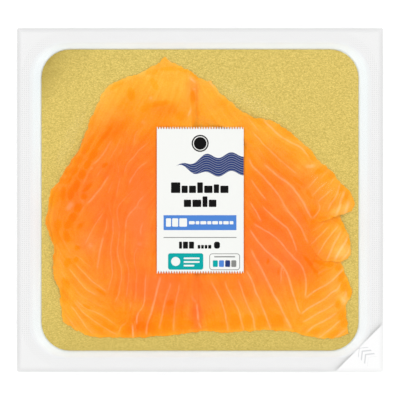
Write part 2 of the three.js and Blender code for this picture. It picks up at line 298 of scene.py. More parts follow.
class TabSettings(bpy.types.PropertyGroup):
    white: colour_setting("White", "Colour of the peel tab", "#DCDCDC")
    edge: colour_setting("Edge", "Colour of the tab towards its cut edges", "#D1D1D1")
    print: colour_setting("Print", "Colour of its faint chevrons", "#BDBEC0")
    corner: length_setting("Corner", "Corner radius of the tab", 1.6)


class StageSettings(bpy.types.PropertyGroup):
    floor: colour_setting("Floor", "Colour of the floor", "#FFFFFF")
    camera_height: length_setting("Camera height", "Camera over the rim", 1500.0)
    view_width: length_setting("View width", "Width of the picture at the rim", 240.5)
    lamp_power: FloatProperty(
        name="Lamp power",
        description="Power of each of the four soft lamps",
        unit="POWER",
        min=0.0,
        default=5.2,
    )
    sky: FloatProperty(
        name="Sky",
        description="Strength of the even light from overhead",
        min=0.0,
        default=0.25,
    )
    horizon: FloatProperty(
        name="Horizon",
        description="Strength of the even light from all round at a low angle",
        min=0.0,
        default=1.3,
    )


# The formed web

# The well's lip in the rim, in millimetres: half its width, half its depth, its corner
LIP = (102.2, 94.8, 22.0)
# The rim's seal starts this far outside the lip
SEAL_GAP = 0.6
# Share of the rim's light that comes back from a dot of the seal
DOT_SHADE = 0.78
# Heights between which the wall turns from white to its lip's colour; the whiter, bluer foot is
# painted light against the card's warm bounce
LIP_SHADE = (3.4 * MM, 5.2 * MM)
# The fold of the peel tab lies where x less y comes to this, and the rim bears a painted shadow of
# the tab, deepening over this span towards the fold
FOLD = 184.35 * MM
FOLD_SHADE = (FOLD - 7.0 * MM, FOLD - 0.5 * MM)


def select_folds(mesh, low, high):
    """In edit mode, selects the edges whose faces meet at between two angles in degrees."""
    shape = bmesh.from_edit_mesh(mesh)
    for edge in shape.edges:
        turn = math.degrees(edge.calc_face_angle(0.0))
        edge.select = low < turn < high
    bmesh.update_edit_mesh(mesh)


def rounded_mask(add, place, half_width, half_depth, corner):
    """1 inside a rounded rectangle about the middle of the pack, in millimetres."""
    flat = add("ShaderNodeVectorMath", {0: place, 1: (1, 1, 0)}, operation="MULTIPLY")
    side = add("ShaderNodeVectorMath", {0: flat.outputs[0]}, operation="ABSOLUTE")
    straight = ((half_width - corner) * MM, (half_depth - corner) * MM, 0)
    past = add("ShaderNodeVectorMath", {0: side.outputs[0], 1: straight}, operation="SUBTRACT")
    outer = add("ShaderNodeVectorMath", {0: past.outputs[0], 1: (0, 0, 0)}, operation="MAXIMUM")
    reach = add("ShaderNodeVectorMath", {0: outer.outputs[0]}, operation="LENGTH")
    inside = {0: reach.outputs["Value"], 1: corner * MM}
    return add("ShaderNodeMath", inside, operation="LESS_THAN").outputs[0]


def cut_edge_share(add, place, width):
    """Rises from 0 to 1 over the last of this width, in millimetres, to the cut edge."""
    side = add("ShaderNodeVectorMath", {0: place}, operation="ABSOLUTE")
    inset = (CAD_BOX[1].x - width * MM, CAD_BOX[1].y - width * MM, 0)
    past = add("ShaderNodeVectorMath", {0: side.outputs[0], 1: inset}, operation="SUBTRACT")
    over = add("ShaderNodeSeparateXYZ", {0: past.outputs[0]})
    reach = add("ShaderNodeMath", {0: over.outputs[0], 1: over.outputs[1]}, operation="MAXIMUM")
    return add("ShaderNodeMapRange", {0: reach.outputs[0], 1: 0.0, 2: width * MM}).outputs[0]


def formed_polypropylene(settings):
    """White sheet, vacuum formed: satin, with the sealing plate's fine dots in the rim."""
    material, add = new_material("Formed white polypropylene")
    place = add("ShaderNodeTexCoord").outputs["Object"]
    # The real dots are 0.66 mm apart, finer than a picture point. They are drawn at twice
    # that, so that the band shows as a faint grain.
    turns = 2 * math.pi / settings.knurl_pitch
    waves = add("ShaderNodeVectorMath", {0: place, 1: (turns,) * 3}, operation="MULTIPLY")
    sines = add("ShaderNodeVectorMath", {0: waves.outputs[0]}, operation="SINE")
    dots = add("ShaderNodeVectorMath", {0: sines.outputs[0], 1: (0, 0, 0)}, operation="MAXIMUM")
    part = add("ShaderNodeSeparateXYZ", {0: dots.outputs[0]})
    dot = add("ShaderNodeMath", {0: part.outputs[0], 1: part.outputs[1]}, operation="MULTIPLY")
    seal_half = [(half - settings.seal_margin) / MM for half in CAD_BOX[1].xy]
    sealed = rounded_mask(add, place, *seal_half, settings.seal_corner / MM)
    well = rounded_mask(add, place, LIP[0] + SEAL_GAP, LIP[1] + SEAL_GAP, LIP[2])
    band = add("ShaderNodeMath", {0: sealed, 1: well}, operation="SUBTRACT", use_clamp=True)
    knurl = add("ShaderNodeMath", {0: dot.outputs[0], 1: band.outputs[0]}, operation="MULTIPLY")
    grey = opaque([channel * DOT_SHADE for channel in settings.rim])

    # Painted shade darkens the rim towards its cut edge, and a painted shadow of the raised peel
    # tab darkens it along the tab's fold
    cut = cut_edge_share(add, place, 3.0)
    corner = add("ShaderNodeVectorMath", {0: place, 1: (1, -1, 0)}, operation="DOT_PRODUCT")
    fold = {0: corner.outputs["Value"], 1: FOLD_SHADE[0], 2: FOLD_SHADE[1]}
    fold_shadow = add("ShaderNodeMapRange", fold, interpolation_type="SMOOTHSTEP")
    blend_inputs = {0: cut, 6: opaque(settings.rim), 7: opaque(settings.cut)}
    edged = add("ShaderNodeMix", blend_inputs, data_type="RGBA")
    fold_shadowed = {0: fold_shadow.outputs[0], 6: edged.outputs[2], 7: opaque(settings.fold)}
    painted_shade = add("ShaderNodeMix", fold_shadowed, data_type="RGBA")

    # Inside the lip the wall is whitest, and a little greyer at its top: its foot is painted whiter
    # and bluer against the warm light that the card throws on it
    tall = add("ShaderNodeSeparateXYZ", {0: place})
    up = add("ShaderNodeMapRange", {0: tall.outputs[2], 1: LIP_SHADE[0], 2: LIP_SHADE[1]})
    wall = {0: up.outputs[0], 6: opaque(settings.white), 7: opaque(settings.lip)}
    walls = add("ShaderNodeMix", wall, data_type="RGBA")
    formed = {0: well, 6: painted_shade.outputs[2], 7: walls.outputs[2]}
    plain = add("ShaderNodeMix", formed, data_type="RGBA")
    dotted = {0: knurl.outputs[0], 6: plain.outputs[2], 7: grey}
    tint = add("ShaderNodeMix", dotted, data_type="RGBA")
    bump = add("ShaderNodeBump", {"Strength": 0.3, "Distance": 0.0001, "Height": knurl.outputs[0]})
    surface = add(
        "ShaderNodeBsdfPrincipled",
        {
            "Base Color": tint.outputs[2],
            "Roughness": 0.38,
            "IOR": 1.49,
            "Specular IOR Level": 0.75,
            "Normal": bump.outputs[0],
        },
    )
    add("ShaderNodeOutputMaterial", {0: surface.outputs[0]})
    return material


class MakeWeb(bpy.types.Operator):
    """Models the formed web, with its lip and toe softly rounded"""

    bl_idname = "salmon_pack.make_web"
    bl_label = "Formed web"

    def execute(self, context):
        settings = context.scene.salmon_web
        web = copy_of_node("formed_web", "formed_web_skin")
        bpy.ops.object.mode_set(mode="EDIT")
        # The wall's fold at the lip and at the toe, in degrees; the cut edges fold by more
        select_folds(web.data, 20, 70)
        bpy.ops.mesh.bevel(offset=settings.softening, segments=4, affect="EDGES")
        bpy.ops.object.mode_set(mode="OBJECT")
        finish_piece(web, formed_polypropylene(settings), "web", "formed_web")
        bpy.ops.object.shade_smooth_by_angle(angle=math.radians(40))
        return {"FINISHED"}


# The gold card


def gold_laminate(settings):
    """Board with a gold laminated face: a fine fibrous glitter, with painted shade to the far left
    and along the near edge.
    """
    material, add = new_material("Gold laminated board")
    place = add("ShaderNodeTexCoord").outputs["Object"]
    lengthwise = {"Vector": place, "Rotation": (0, 0, 0.5), "Scale": (1, 1.7, 1)}
    stretched = add("ShaderNodeMapping", lengthwise).outputs[0]
    grain = {"Vector": stretched, "Scale": 1 / settings.fibre, "Detail": 3.0, "Roughness": 0.75}
    fibres = add("ShaderNodeTexNoise", grain)
    contrast = add("ShaderNodeMapRange", {0: fibres.outputs["Fac"], 1: 0.35, 2: 0.65})
    glitter = {0: contrast.outputs[0], 6: opaque(settings.dull), 7: opaque(settings.bright)}
    gold = add("ShaderNodeMix", glitter, data_type="RGBA")

    # Painted shade at the far left corner, in crumples about 22 mm across
    crumples = {"Vector": place, "Scale": 45.0, "Detail": 4.0, "Roughness": 0.65}
    clouds = add("ShaderNodeTexNoise", crumples)
    corner = add("ShaderNodeVectorMath", {0: place, 1: (-1, 1, 0)}, operation="DOT_PRODUCT")
    outward = {0: corner.outputs["Value"], 1: 122 * MM, 2: 175 * MM, 3: -0.9, 4: 0.1}
    away = add("ShaderNodeMapRange", outward)
    crumple = add("ShaderNodeMath", {0: away.outputs[0], 1: clouds.outputs["Fac"]}, operation="ADD")
    share = add("ShaderNodeMapRange", {0: crumple.outputs[0], 1: 0.1, 2: 0.75, 3: 0.0, 4: 0.75})

    # A little painted shade along the near edge
    depth = add("ShaderNodeSeparateXYZ", {0: place})
    nearer = {0: depth.outputs[1], 1: -55 * MM, 2: -90 * MM, 3: 0.0, 4: 0.22}
    near = add("ShaderNodeMapRange", nearer)
    painted_shade = add("ShaderNodeMath", {0: share.outputs[0], 1: near.outputs[0]}, operation="MAXIMUM")
    corner_and_edge_shade = {0: painted_shade.outputs[0], 6: gold.outputs[2], 7: opaque(settings.shade)}
    tint = add("ShaderNodeMix", corner_and_edge_shade, data_type="RGBA")
    raised = {"Strength": 0.25, "Distance": 0.0001, "Height": fibres.outputs["Fac"]}
    bump = add("ShaderNodeBump", raised)
    surface = add(
        "ShaderNodeBsdfPrincipled",
        {
            "Base Color": tint.outputs[2],
            "Metallic": 0.25,
            "Roughness": 0.5,
            "Normal": bump.outputs[0],
        },
    )
    add("ShaderNodeOutputMaterial", {0: surface.outputs[0]})
    return material


class FinishCard(bpy.types.Operator):
    """Gives the card its gold laminate"""

    bl_idname = "salmon_pack.finish_card"
    bl_label = "Gold card"

    def execute(self, context):
        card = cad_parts["gold_card"]
        card.material_slots[0].material = gold_laminate(context.scene.salmon_card)
        return {"FINISHED"}


# The salmon

# The slices in the order that they are laid
LAID = ("slice_under", "slice_right_low", "slice_right_middle", "slice_right_high", "slice_left")

# Places on the fish are read off the picture of the pack, in pixels from its top left
# corner. The pack's width there and its middle turn them to millimetres.
PACK_PIXELS = 365.9
PACK_MIDDLE = (200.05, 199.93)
PIXEL = (CAD_BOX[1].x - CAD_BOX[0].x) / MM / PACK_PIXELS

# A side of salmon is made of muscle blocks, nested in chevrons, with a thin sheet of fat
# between each two, which a slice cuts into a pale line. A line's row holds how strongly it
# shows, half its width in millimetres and the points of its course in pixels.
LEFT_LINES = [
    (0.8, 0.9, (112.2, 140), (108.9, 144.4), (103.3, 154.4), (97.8, 161.1), (92.2, 164.4)),
    (0.35, 0.8, (92.2, 164.4), (87.8, 174.4), (84.4, 181.1), (82.8, 185.6)),
    (0.5, 0.6, (121.7, 136.7), (119.4, 142.2), (116.7, 147.8), (113.3, 153.3), (110, 158.9)),
    (0.5, 0.6, (123.3, 146.7), (121.7, 151.1), (118.9, 155.6)),
    (0.35, 0.6, (127.8, 147.8), (126.7, 152.2)),
    (0.6, 0.7, (140, 128.9), (135, 133.9), (134.4, 141.1), (133.3, 144.4)),
    (0.6, 0.65, (148.3, 142.2), (143.3, 146.7), (137.8, 151.1), (134.4, 156.7), (127.8, 162.2),
     (125.6, 167.8), (123.9, 174.4)),
    (0.9, 0.8, (147.2, 161.7), (140, 166.7), (134.4, 173.9), (130.6, 180.6), (128.9, 185.6)),
    (0.5, 0.6, (134.4, 190), (127.8, 195), (122.2, 201.1), (117.8, 206.7), (117.2, 212.2),
     (118.3, 218.9), (119.4, 230)),
    (0.9, 0.8, (144.4, 195.6), (138.3, 202.2), (136.7, 206.1), (131.1, 211.1), (127.8, 216.7),
     (126.1, 223.3), (125.6, 230)),
    (0.6, 0.7, (136.7, 206.1), (141.1, 209.4)),
    (0.8, 0.9, (142.8, 221.5), (140, 230), (141.3, 236.3)),
    (1, 0.95, (109.4, 174.4), (106.7, 180), (102.2, 185.6), (96.7, 193.3), (91.1, 200),
     (86.1, 204.4)),
    (0.5, 0.6, (86.1, 204.4), (81.7, 200.6), (79, 197)),
    (0.5, 0.6, (86.1, 204.4), (82.2, 210), (78.8, 214.5)),
    (0.55, 0.6, (113.3, 180), (111.1, 186.7), (107.2, 194.4)),
    (0.6, 0.6, (120, 175.6), (119.4, 181.1), (117.8, 187.8), (116.5, 196)),
    (0.4, 0.6, (114.4, 175.6), (120, 176.7)),
    (0.5, 0.6, (102.2, 168.9), (97.8, 174.4), (96.1, 177.8)),
    (0.35, 0.55, (110, 197.8), (108.9, 205.6), (112.2, 216.7)),
    (0.4, 0.55, (117.5, 163), (118.8, 170), (117.5, 176)),
    (0.3, 0.55, (104.5, 206), (100.5, 212), (95.5, 218)),
    (0.7, 0.6, (103.3, 212.2), (100, 217.8), (95.6, 224.4), (90.6, 232.5), (87.5, 238.8),
     (85, 245)),
    (0.7, 0.6, (107.2, 217.8), (106.7, 227.5), (103.8, 235)),
    (1, 0.95, (103.8, 235), (101.3, 243.8), (99.4, 253.8), (98.1, 262.5), (97.5, 270)),
    (0.75, 0.65, (112.2, 216.7), (113.1, 222.5), (113.1, 231.3), (111.9, 238.8), (110.6, 248.8),
     (111.3, 258.8), (112.3, 266.3), (112.5, 273.8), (110.6, 282.5), (107.8, 291)),
    (0.8, 0.7, (119.2, 229), (118.5, 242.5), (117.3, 251.3), (118.8, 258.8), (121, 266.3),
     (121.9, 273.8), (120.6, 283.8), (118.8, 293.8), (115, 302.5)),
    (0.75, 0.65, (125.6, 230), (125, 241.3), (125, 257.5), (127.5, 265), (129, 271.3),
     (128.1, 282.5), (127.5, 291.3), (126.3, 297.5)),
    (0.6, 0.6, (139, 246), (135, 251.3), (133.8, 260), (136.3, 267.5), (136.9, 276.3),
     (135.6, 285), (136.3, 293.8), (134.4, 302.5)),
    (0.95, 0.7, (76.3, 263.8), (82.5, 271.3), (90, 278.8), (96.3, 283.8), (102.5, 288.8),
     (107.5, 291.9)),
    (0.8, 0.75, (68.8, 268.1), (73.8, 273.8), (78.8, 281.3), (85, 288.1), (91.3, 292.5),
     (98, 296)),
    (0.35, 0.7, (73.1, 285), (77.5, 292.5), (83.8, 297.5), (92.5, 301.3), (102.5, 307.5)),
    (0.8, 0.7, (75.6, 300), (82.5, 306.3), (90, 310), (98.8, 313.8), (107.5, 318.8),
     (116, 324.5)),
    (0.8, 0.75, (73.8, 301.3), (78.8, 307.5), (83.8, 312.5), (90, 317.5), (96.3, 322.5),
     (103.8, 327.5), (112.5, 332.5), (117.5, 334.5)),
    (0.8, 0.75, (70, 305), (76.3, 312.5), (81.3, 320), (86.3, 327.5), (93.8, 335)),
    (0.65, 0.65, (63.8, 312.5), (68.8, 318.8), (73.8, 326.3), (76.3, 330)),
    (0.5, 0.6, (58.8, 257.5), (62.5, 263.8), (65, 270)),
    (0.5, 0.6, (60, 268.8), (63.8, 275), (68, 283), (70.5, 287)),
    (0.4, 0.6, (58.8, 250), (61.9, 256.3)),
    (0.45, 0.6, (73.8, 254.4), (80, 257.5), (85, 262.5), (92.5, 268.8)),
    (0.5, 0.6, (75, 242.5), (81.3, 246.3)),
    (0.4, 0.6, (63, 238), (67, 247), (71.5, 254)),
    (0.4, 0.6, (66.5, 256), (72.5, 257.5)),
]
NEAR_LINES = [
    (0.85, 0.7, (146.3, 273.8), (145.6, 282.5), (145, 292.5), (144.4, 302.5), (142.5, 307.5),
     (138.8, 312.5)),
    (1.3, 0.8, (140, 310.5), (137.8, 314.5), (136.9, 318.8), (136.9, 325)),
    (1, 1, (160.3, 276), (157.5, 287.5), (154.4, 300), (151.3, 312.5), (147.5, 322.5),
     (146.3, 336)),
    (0.7, 0.9, (170.6, 281.9), (168.8, 290), (165.6, 300), (163.1, 310), (161.3, 320),
     (159.4, 330)),
    (0.55, 0.9, (179.4, 282.5), (178.1, 292.5), (175.6, 302.5), (174.4, 312.5), (173.8, 322.5),
     (173.5, 332)),
    (1.3, 0.8, (132.8, 323.8), (132.5, 331.3), (132.8, 338.5)),
    (0.5, 0.6, (131.3, 301.3), (130, 310)),
    (0.3, 0.6, (120, 300), (120.6, 306.3)),
    (0.5, 0.65, (117.5, 334.5), (120, 330), (121.3, 326.3), (126.3, 322.5)),
    (0.8, 0.8, (210.6, 280), (215, 287.5), (220, 298.8), (223.8, 307.5), (226.3, 318.8),
     (228.3, 332)),
    (0.75, 0.8, (225, 281.3), (228.8, 291.3), (233.8, 301.3), (238.8, 310), (241.9, 321.3),
     (244.4, 332)),
    (0.8, 0.8, (238.1, 278.8), (241.3, 288.8), (244.4, 298.8), (248.8, 307.5), (253.1, 316.3),
     (255.5, 331)),
]
RIGHT_LINES = [
    (1, 0.9, (263.3, 119.6), (270, 126.7), (277.8, 134.4), (284.4, 138.9), (292.2, 143.3),
     (300, 146.7), (305.6, 151.7), (309.5, 157.5)),
    (0.4, 0.7, (246.7, 115.6), (252.2, 123.3), (258.9, 131.1)),
    (0.7, 0.75, (252.2, 131.1), (257.8, 137.8), (264.4, 145.6), (272.2, 152.2), (278.9, 158.9),
     (284.4, 163.9), (290, 168.9), (297.5, 173.8)),
    (0.3, 0.7, (256.1, 145.6), (261.1, 152.2), (264.4, 158.9)),
    (1, 0.95, (263.5, 163.5), (273.3, 172.2), (278.9, 176.7), (285.6, 181.1), (292.2, 186.7),
     (297.8, 194.4), (303.3, 202.2), (306.7, 210), (312.2, 219)),
    (1, 0.9, (248.9, 157.8), (252.2, 165.6), (258.9, 172.2), (265.6, 178.9), (273.3, 187.8),
     (280, 196.7), (284.4, 205.6), (290, 213.3), (296.5, 221.5), (301.3, 228), (303.8, 234.5),
     (308.5, 243.5)),
    (0.85, 0.8, (250.6, 178.9), (255.6, 186.7), (261.1, 193.3), (266.5, 200.5)),
    (0.9, 0.8, (249.5, 201), (251.1, 203.3), (255.6, 211.1), (260.6, 220), (262, 222)),
    (0.95, 0.85, (262.2, 205.6), (266.7, 211.1), (272.2, 215.6), (280, 222.5), (287.5, 228),
     (290.6, 233.8), (293.8, 242.5), (297, 252.5)),
    (0.4, 0.65, (282.2, 206.7), (288.9, 214.4)),
    (0.7, 0.65, (307.5, 188.5), (313.3, 182.2), (318.5, 176)),
    (0.5, 0.65, (320, 178.9), (327.5, 171.5)),
    (0.75, 0.65, (311.5, 196), (318.9, 188.9), (327, 182)),
    (0.8, 0.7, (317.8, 202.2), (323.3, 196.7), (332, 189)),
    (0.55, 0.65, (328.9, 185.6), (335, 178)),
    (1, 1, (327.3, 211), (330, 204.4), (335.6, 197.8), (338.9, 189.9), (341, 183)),
    (1.1, 1.2, (336.3, 215.5), (338.9, 207.8), (341.6, 199), (345.5, 190)),
    (1.1, 1.3, (344, 216), (346.7, 208.9), (349.4, 200)),
    (0.8, 0.75, (312.2, 219.4), (317.8, 212.2), (320, 206.7), (317.8, 202.2)),
    (0.9, 0.85, (246.3, 270), (251.3, 278.8), (255, 290), (260, 301.3), (264.4, 312.5),
     (268.8, 322.5), (271, 331)),
    (1, 1, (250.6, 248.8), (255, 257.5), (261.3, 268.8), (267.5, 280), (271.3, 288.8),
     (277.5, 300), (282.5, 311.3), (287.5, 320), (292, 330)),
    (1, 0.9, (250, 229), (251.9, 232.5), (257.5, 241.3), (265, 250), (272.5, 256.3),
     (281.3, 263.8), (286.3, 271.3), (290, 282.5), (292.5, 292.5), (296.3, 302.5), (300.3, 315)),
    (0.6, 0.7, (281.3, 265), (281.3, 273.8), (280.6, 283.8)),
    (1, 0.85, (254, 223), (257.5, 226.3), (263.8, 230), (272.5, 235), (281.3, 242.5),
     (287.5, 251.3), (295, 258.8), (301.3, 265), (305, 273.8), (306.3, 285), (305.6, 298.8)),
    (0.95, 0.8, (305.6, 298.8), (312.5, 292.5), (321.3, 287.5), (330, 282.5), (337.5, 275),
     (345, 268.3)),
    (0.95, 0.8, (300.3, 315), (307.5, 308.8), (316.3, 303.8), (325, 298.8), (331.3, 292.5),
     (337.5, 290), (341.5, 283)),
    (0.9, 0.8, (302.5, 322.5), (311.3, 317.5), (320, 312.5), (330, 307.5), (335.5, 303.5)),
    (0.9, 0.85, (306.5, 333), (313.8, 326.3), (323.8, 321.3), (332.5, 316.3), (337.5, 312.5)),
    (0.95, 0.8, (318, 339.5), (326.3, 332.5), (333.8, 326.3), (341, 320)),
    (0.8, 0.8, (333.8, 339.5), (341.3, 333.8), (348, 328)),
    (0.4, 0.7, (312.5, 231.3), (320, 226.3), (324.8, 221)),
    (0.6, 0.7, (309.3, 246), (315, 240), (321.3, 233.8), (329, 226)),
    (0.85, 0.75, (318.3, 255), (322.5, 246.3), (327.5, 238.8), (333.8, 231.3), (338.5, 225)),
    (1, 0.9, (327, 260.5), (331.3, 250), (335, 242.5), (341.5, 231)),
    (1.1, 1.1, (335, 260.5), (338.8, 252.5), (343.8, 245), (348.5, 236)),
    (0.9, 1, (342.5, 259.5), (347.5, 254), (351, 247)),
    (0.5, 0.7, (315, 276), (322, 271), (330, 268)),
]

# Each part's lines, with the share of their strength that shows there
LINE_PARTS = (
    (LEFT_LINES, 0.6),
    (NEAR_LINES, 0.9),
    (RIGHT_LINES, 0.9),
)

# Pinkish white flecks, of the same kind
FLECKS = [
    (1.5, 1, (189.3, 76.5), (191.5, 79.5), (194.5, 82), (196, 82.5)),
    (1.5, 1.1, (193, 89.3), (196, 88.6)),
    (0.9, 0.9, (191.3, 107.5), (190, 112), (187.5, 117)),
    (1.3, 1, (196.8, 303), (197.5, 310), (198, 318), (198.6, 322)),
    (0.8, 0.7, (198.6, 321), (200.3, 326), (202, 331)),
    (0.7, 0.7, (197.8, 320), (197, 325)),
    (0.5, 1.2, (190.5, 295), (194, 299.5), (196.8, 303)),
    (0.9, 1.1, (166.5, 57.5), (169.5, 60), (173, 62)),
    (0.7, 1, (136, 72.8), (141, 71.2), (145, 69.7)),
    (0.9, 1.8, (144.7, 120.5), (143, 124.5)),
    (0.8, 1.6, (149.5, 100.5), (151.5, 95.5)),
    (0.9, 1.6, (305, 165.5), (310, 166.5), (316, 164.5)),
    (1.2, 2.2, (72.8, 202), (70, 206.5), (66, 210)),
    (0.8, 2.4, (140.2, 242), (139.6, 246)),
    (1.2, 1, (262.7, 117.5), (267.5, 118.6)),
    (0.8, 0.9, (207.5, 79), (211, 83), (214.5, 87)),
    (1.5, 1.8, (342.8, 301), (346, 299.3)),
    (1, 1.1, (345.2, 298), (346.3, 291)),
    (0.7, 2.2, (88, 247), (93, 243)),
    (0.6, 1.2, (93.5, 166), (90, 170)),
]

# Where a slice is so thin that the lines of the one below cross its own, the cells between
# them stay dark. Small hollows and the flesh under the overhanging edges of slices get the
# same darkening as painted shade and painted shadow: place in pixels, reach along and across
# in millimetres, turn in degrees and strength
CELLS_AND_SHADOWS = [
    (85.6, 148.9, 3.6, 1.9, 62, 1), (93.3, 154.4, 3.4, 1.7, 58, 1), (78.3, 160, 2.8, 2, 45, 0.9),
    (87.8, 164.4, 2.8, 1.6, 60, 0.9), (73.9, 170, 3, 1.9, 55, 0.9),
    (82.2, 174.4, 2.9, 1.9, 70, 1), (67.8, 172.2, 2.2, 1.6, 50, 0.7),
    (67.8, 180, 3, 1.6, 50, 0.8), (76.7, 185.6, 3.1, 1.8, 70, 1), (62, 181, 1.8, 1.4, 50, 0.7),
    (62.8, 193.3, 3.8, 1.5, 85, 0.9), (71, 193.9, 3.2, 1.6, 85, 1), (54.5, 197, 5, 2.6, 75, 0.7),
    (87.8, 187.8, 3.6, 1.1, 45, 0.7), (83.9, 196.7, 1.8, 1.6, 0, 0.6),
    (78.3, 207.8, 2.6, 1.8, 55, 1), (72.8, 217.2, 2.9, 1.8, 60, 1),
    (68.3, 224.4, 2.4, 1.7, 60, 1), (57.5, 226, 3.6, 2.2, 75, 0.6), (56, 236.5, 4, 2.2, 100, 0.8),
    (66.9, 236.5, 3.2, 1.7, 110, 1), (77.5, 247.5, 1.9, 1.7, 0, 0.6),
    (76.3, 258.8, 1.8, 1.4, 60, 0.5), (67.5, 262.5, 2.4, 1.6, 80, 0.8),
    (66, 283, 3.6, 2.2, 110, 0.8), (64.3, 295, 4.6, 2, 95, 0.8), (80, 226, 2.4, 1.1, 40, 0.4),
    (107.2, 133.5, 4.2, 1, 56, 0.8), (100, 142.5, 4.4, 1.1, 58, 0.9), (105.3, 165, 2, 1, 35, 0.7),
    (91.5, 139, 3, 1.3, 60, 0.7), (131, 94.3, 3.4, 2, 95, 1), (192.6, 97, 3.6, 1.5, 92, 1),
    (115, 86, 5, 1.6, 30, 0.5), (152, 72, 3.2, 1.6, 10, 0.6), (170, 68.5, 5.6, 1.4, 0, 0.6),
    (183, 69.5, 3.4, 1.2, -20, 0.6), (194.5, 75, 3.4, 1.2, -40, 0.7),
    (154.5, 84, 4, 1.6, -60, 0.5), (159, 103.5, 6, 1.4, 10, 0.6), (146, 108, 3, 2, 30, 0.5),
    (225, 102, 2.4, 1.8, 40, 0.6), (181, 116, 3, 2.4, 0, 0.4), (320, 262.3, 3.2, 1, -20, 1),
    (330.5, 264.3, 2, 1.4, 0, 0.9), (338.6, 267.8, 2.3, 1.6, 55, 0.9),
    (342, 276.5, 3.6, 1.8, 62, 1), (344.6, 285.5, 3.4, 2.2, 62, 1),
    (339.2, 303.5, 3.2, 1.8, 80, 1), (349, 291, 3.6, 1.5, 95, 0.9),
    (342.5, 315.5, 3, 1.8, 60, 0.7), (345, 323.5, 2.4, 1.8, 60, 0.8),
    (332.5, 334.5, 4.2, 1.6, 30, 0.7), (314, 332, 3.8, 1.4, 28, 0.8), (309, 262, 5, 1, -52, 0.7),
    (315.5, 272, 2.6, 1, -60, 0.6), (341.5, 188, 3.2, 1.5, 62, 0.8),
    (347.5, 194, 3.2, 1.3, 75, 0.7), (333, 175, 3, 1.6, 40, 0.7), (321, 170, 3.4, 1.7, 30, 0.7),
    (337, 220.5, 5, 1.3, -35, 0.7), (323, 218.5, 2.6, 1.4, 0, 0.6), (333, 200, 2.6, 1, 55, 0.5),
    (349.5, 241, 2.6, 1.6, 80, 0.8), (343, 228, 3, 1.2, -55, 0.5), (312, 213, 2.4, 1.4, 30, 0.5),
    (268, 261.5, 1.8, 0.9, 80, 0.6), (279, 271, 2.4, 0.8, 90, 0.5), (260, 122, 5, 1.5, -30, 0.5),
    (288, 133, 7, 1.6, -32, 0.7), (311, 155, 4.2, 1.4, -48, 0.7), (298, 181, 3.6, 1.2, -40, 0.4),
    (309, 194, 3.4, 1.2, -60, 0.4), (141, 326, 2.4, 2.6, 90, 0.7), (153, 329, 3, 2.8, 80, 0.6),
    (167, 327, 3, 2.8, 80, 0.6), (186, 325, 4.6, 2.6, 10, 0.6), (126.5, 331, 3.2, 2.4, 0, 0.6),
    (236, 322, 2.8, 4.4, 0, 0.6), (248, 322, 2.6, 4.4, 0, 0.6), (261.5, 322, 3, 4, 0, 0.6),
    (278, 322, 3.4, 4, 0, 0.6), (216, 326, 4.6, 2.2, 0, 0.5), (170, 303, 2.4, 1.6, 30, 0.5),
    (108, 327.5, 3.6, 1, -30, 0.6), (86.5, 307, 3, 0.9, -30, 0.5), (101, 291.5, 3.4, 1, -35, 0.4),
    (99, 329, 3, 1.2, -30, 0.5),
]

# The flesh is redder where it lies thick and yellower where it is thin. Soft patches: place
# in pixels, reach along and across in millimetres, turn, how much redder and how much paler
TINTS = [
    # The thick hearts of the left half and of the right half
    (125, 210, 38, 54, 0, 0.6, 0.05),
    (150, 160, 14, 24, 0, 0.1, 0),
    (270, 230, 32, 46, 0, 0.6, 0.02),
    # The thick flesh between them, which the label covers but for its near end
    (180, 290, 36, 14, 0, 0.5, 0.05),
    # The thin far edge with its apex, and the thin upper right edge
    (160, 75, 50, 14, 0, -0.15, 0.02),
    (270, 128, 45, 8, -35, -0.1, 0),
    # The near edge, and the left margin, where the lowest slice shows past the upper one
    (165, 322, 45, 10, 0, 0.2, -0.03),
    (66, 205, 10, 34, -20, 0.15, 0),
    # The clear deep orange band at the left slice's shoulder, and one below the apex
    (112, 130, 10, 5, 35, 0.15, -0.04),
    (165, 109, 9, 5, 0, 0.2, 0),
    # Pinkish streaks beside the label, at the left, and through the right half
    (140, 222, 6, 22, 0, 0.1, 0.08),
    (90, 243, 7, 8, 0, 0, 0.08),
    (268, 262, 18, 18, 0, 0.05, 0.06),
    (285, 200, 10, 10, 0, -0.1, 0.05),
    # Milky amber at the upper left and at the right ends, with redder flesh between
    (105, 100, 9, 13, 0, -0.15, 0.05),
    (340, 243, 8, 12, 0, -0.1, 0.05),
    (308, 166, 8, 6, 0, -0.05, 0.05),
    (308, 268, 10, 12, 0, 0.2, 0),
    # Cream spots where the right ends are thinnest, and the milky strip between them
    (342, 252, 6, 4, 20, -0.15, 0.12),
    (340, 210, 7, 3, 25, -0.15, 0.12),
    (343, 300, 3, 3, 0, -0.2, 0.2),
    (337, 290, 7, 18, 0, 0, 0.06),
    # Small redder spots, two at the near edge and one at the far edge
    (141, 325, 8, 7, 0, 0.25, 0),
    (197, 318, 5, 8, 0, 0.3, 0.05),
    (193, 88, 5, 8, 0, 0.2, 0.05),
]

# Redness and paleness of the flesh apart from its patches
PLAIN = (0.35, 0.04)

# The edges along which a slice is feathered onto the one below it, so that no step shows
FEATHERED = {
    "slice_right_middle": [(58.9, 8.4), (55.3, 3.6), (52.3, -2.4), (59.5, -15.7), (66.7, -27.7)],
    "slice_right_high": [(-3.4, 48.6), (6, 43.8), (16.8, 38.4), (25.8, 31.8), (33.6, 24.6),
                         (40.9, 17.4), (47.5, 10.2), (54.1, 1.8), (60.7, -6.7), (66.7, -11.8)],
    "slice_left": [(-1.4, 75.4), (-1.8, 64.9), (-1.2, 54.1), (-0.6, 30), (-0.4, -18.1),
                   (-0.2, -54.2), (0.4, -71), (0.8, -78.8)],
}

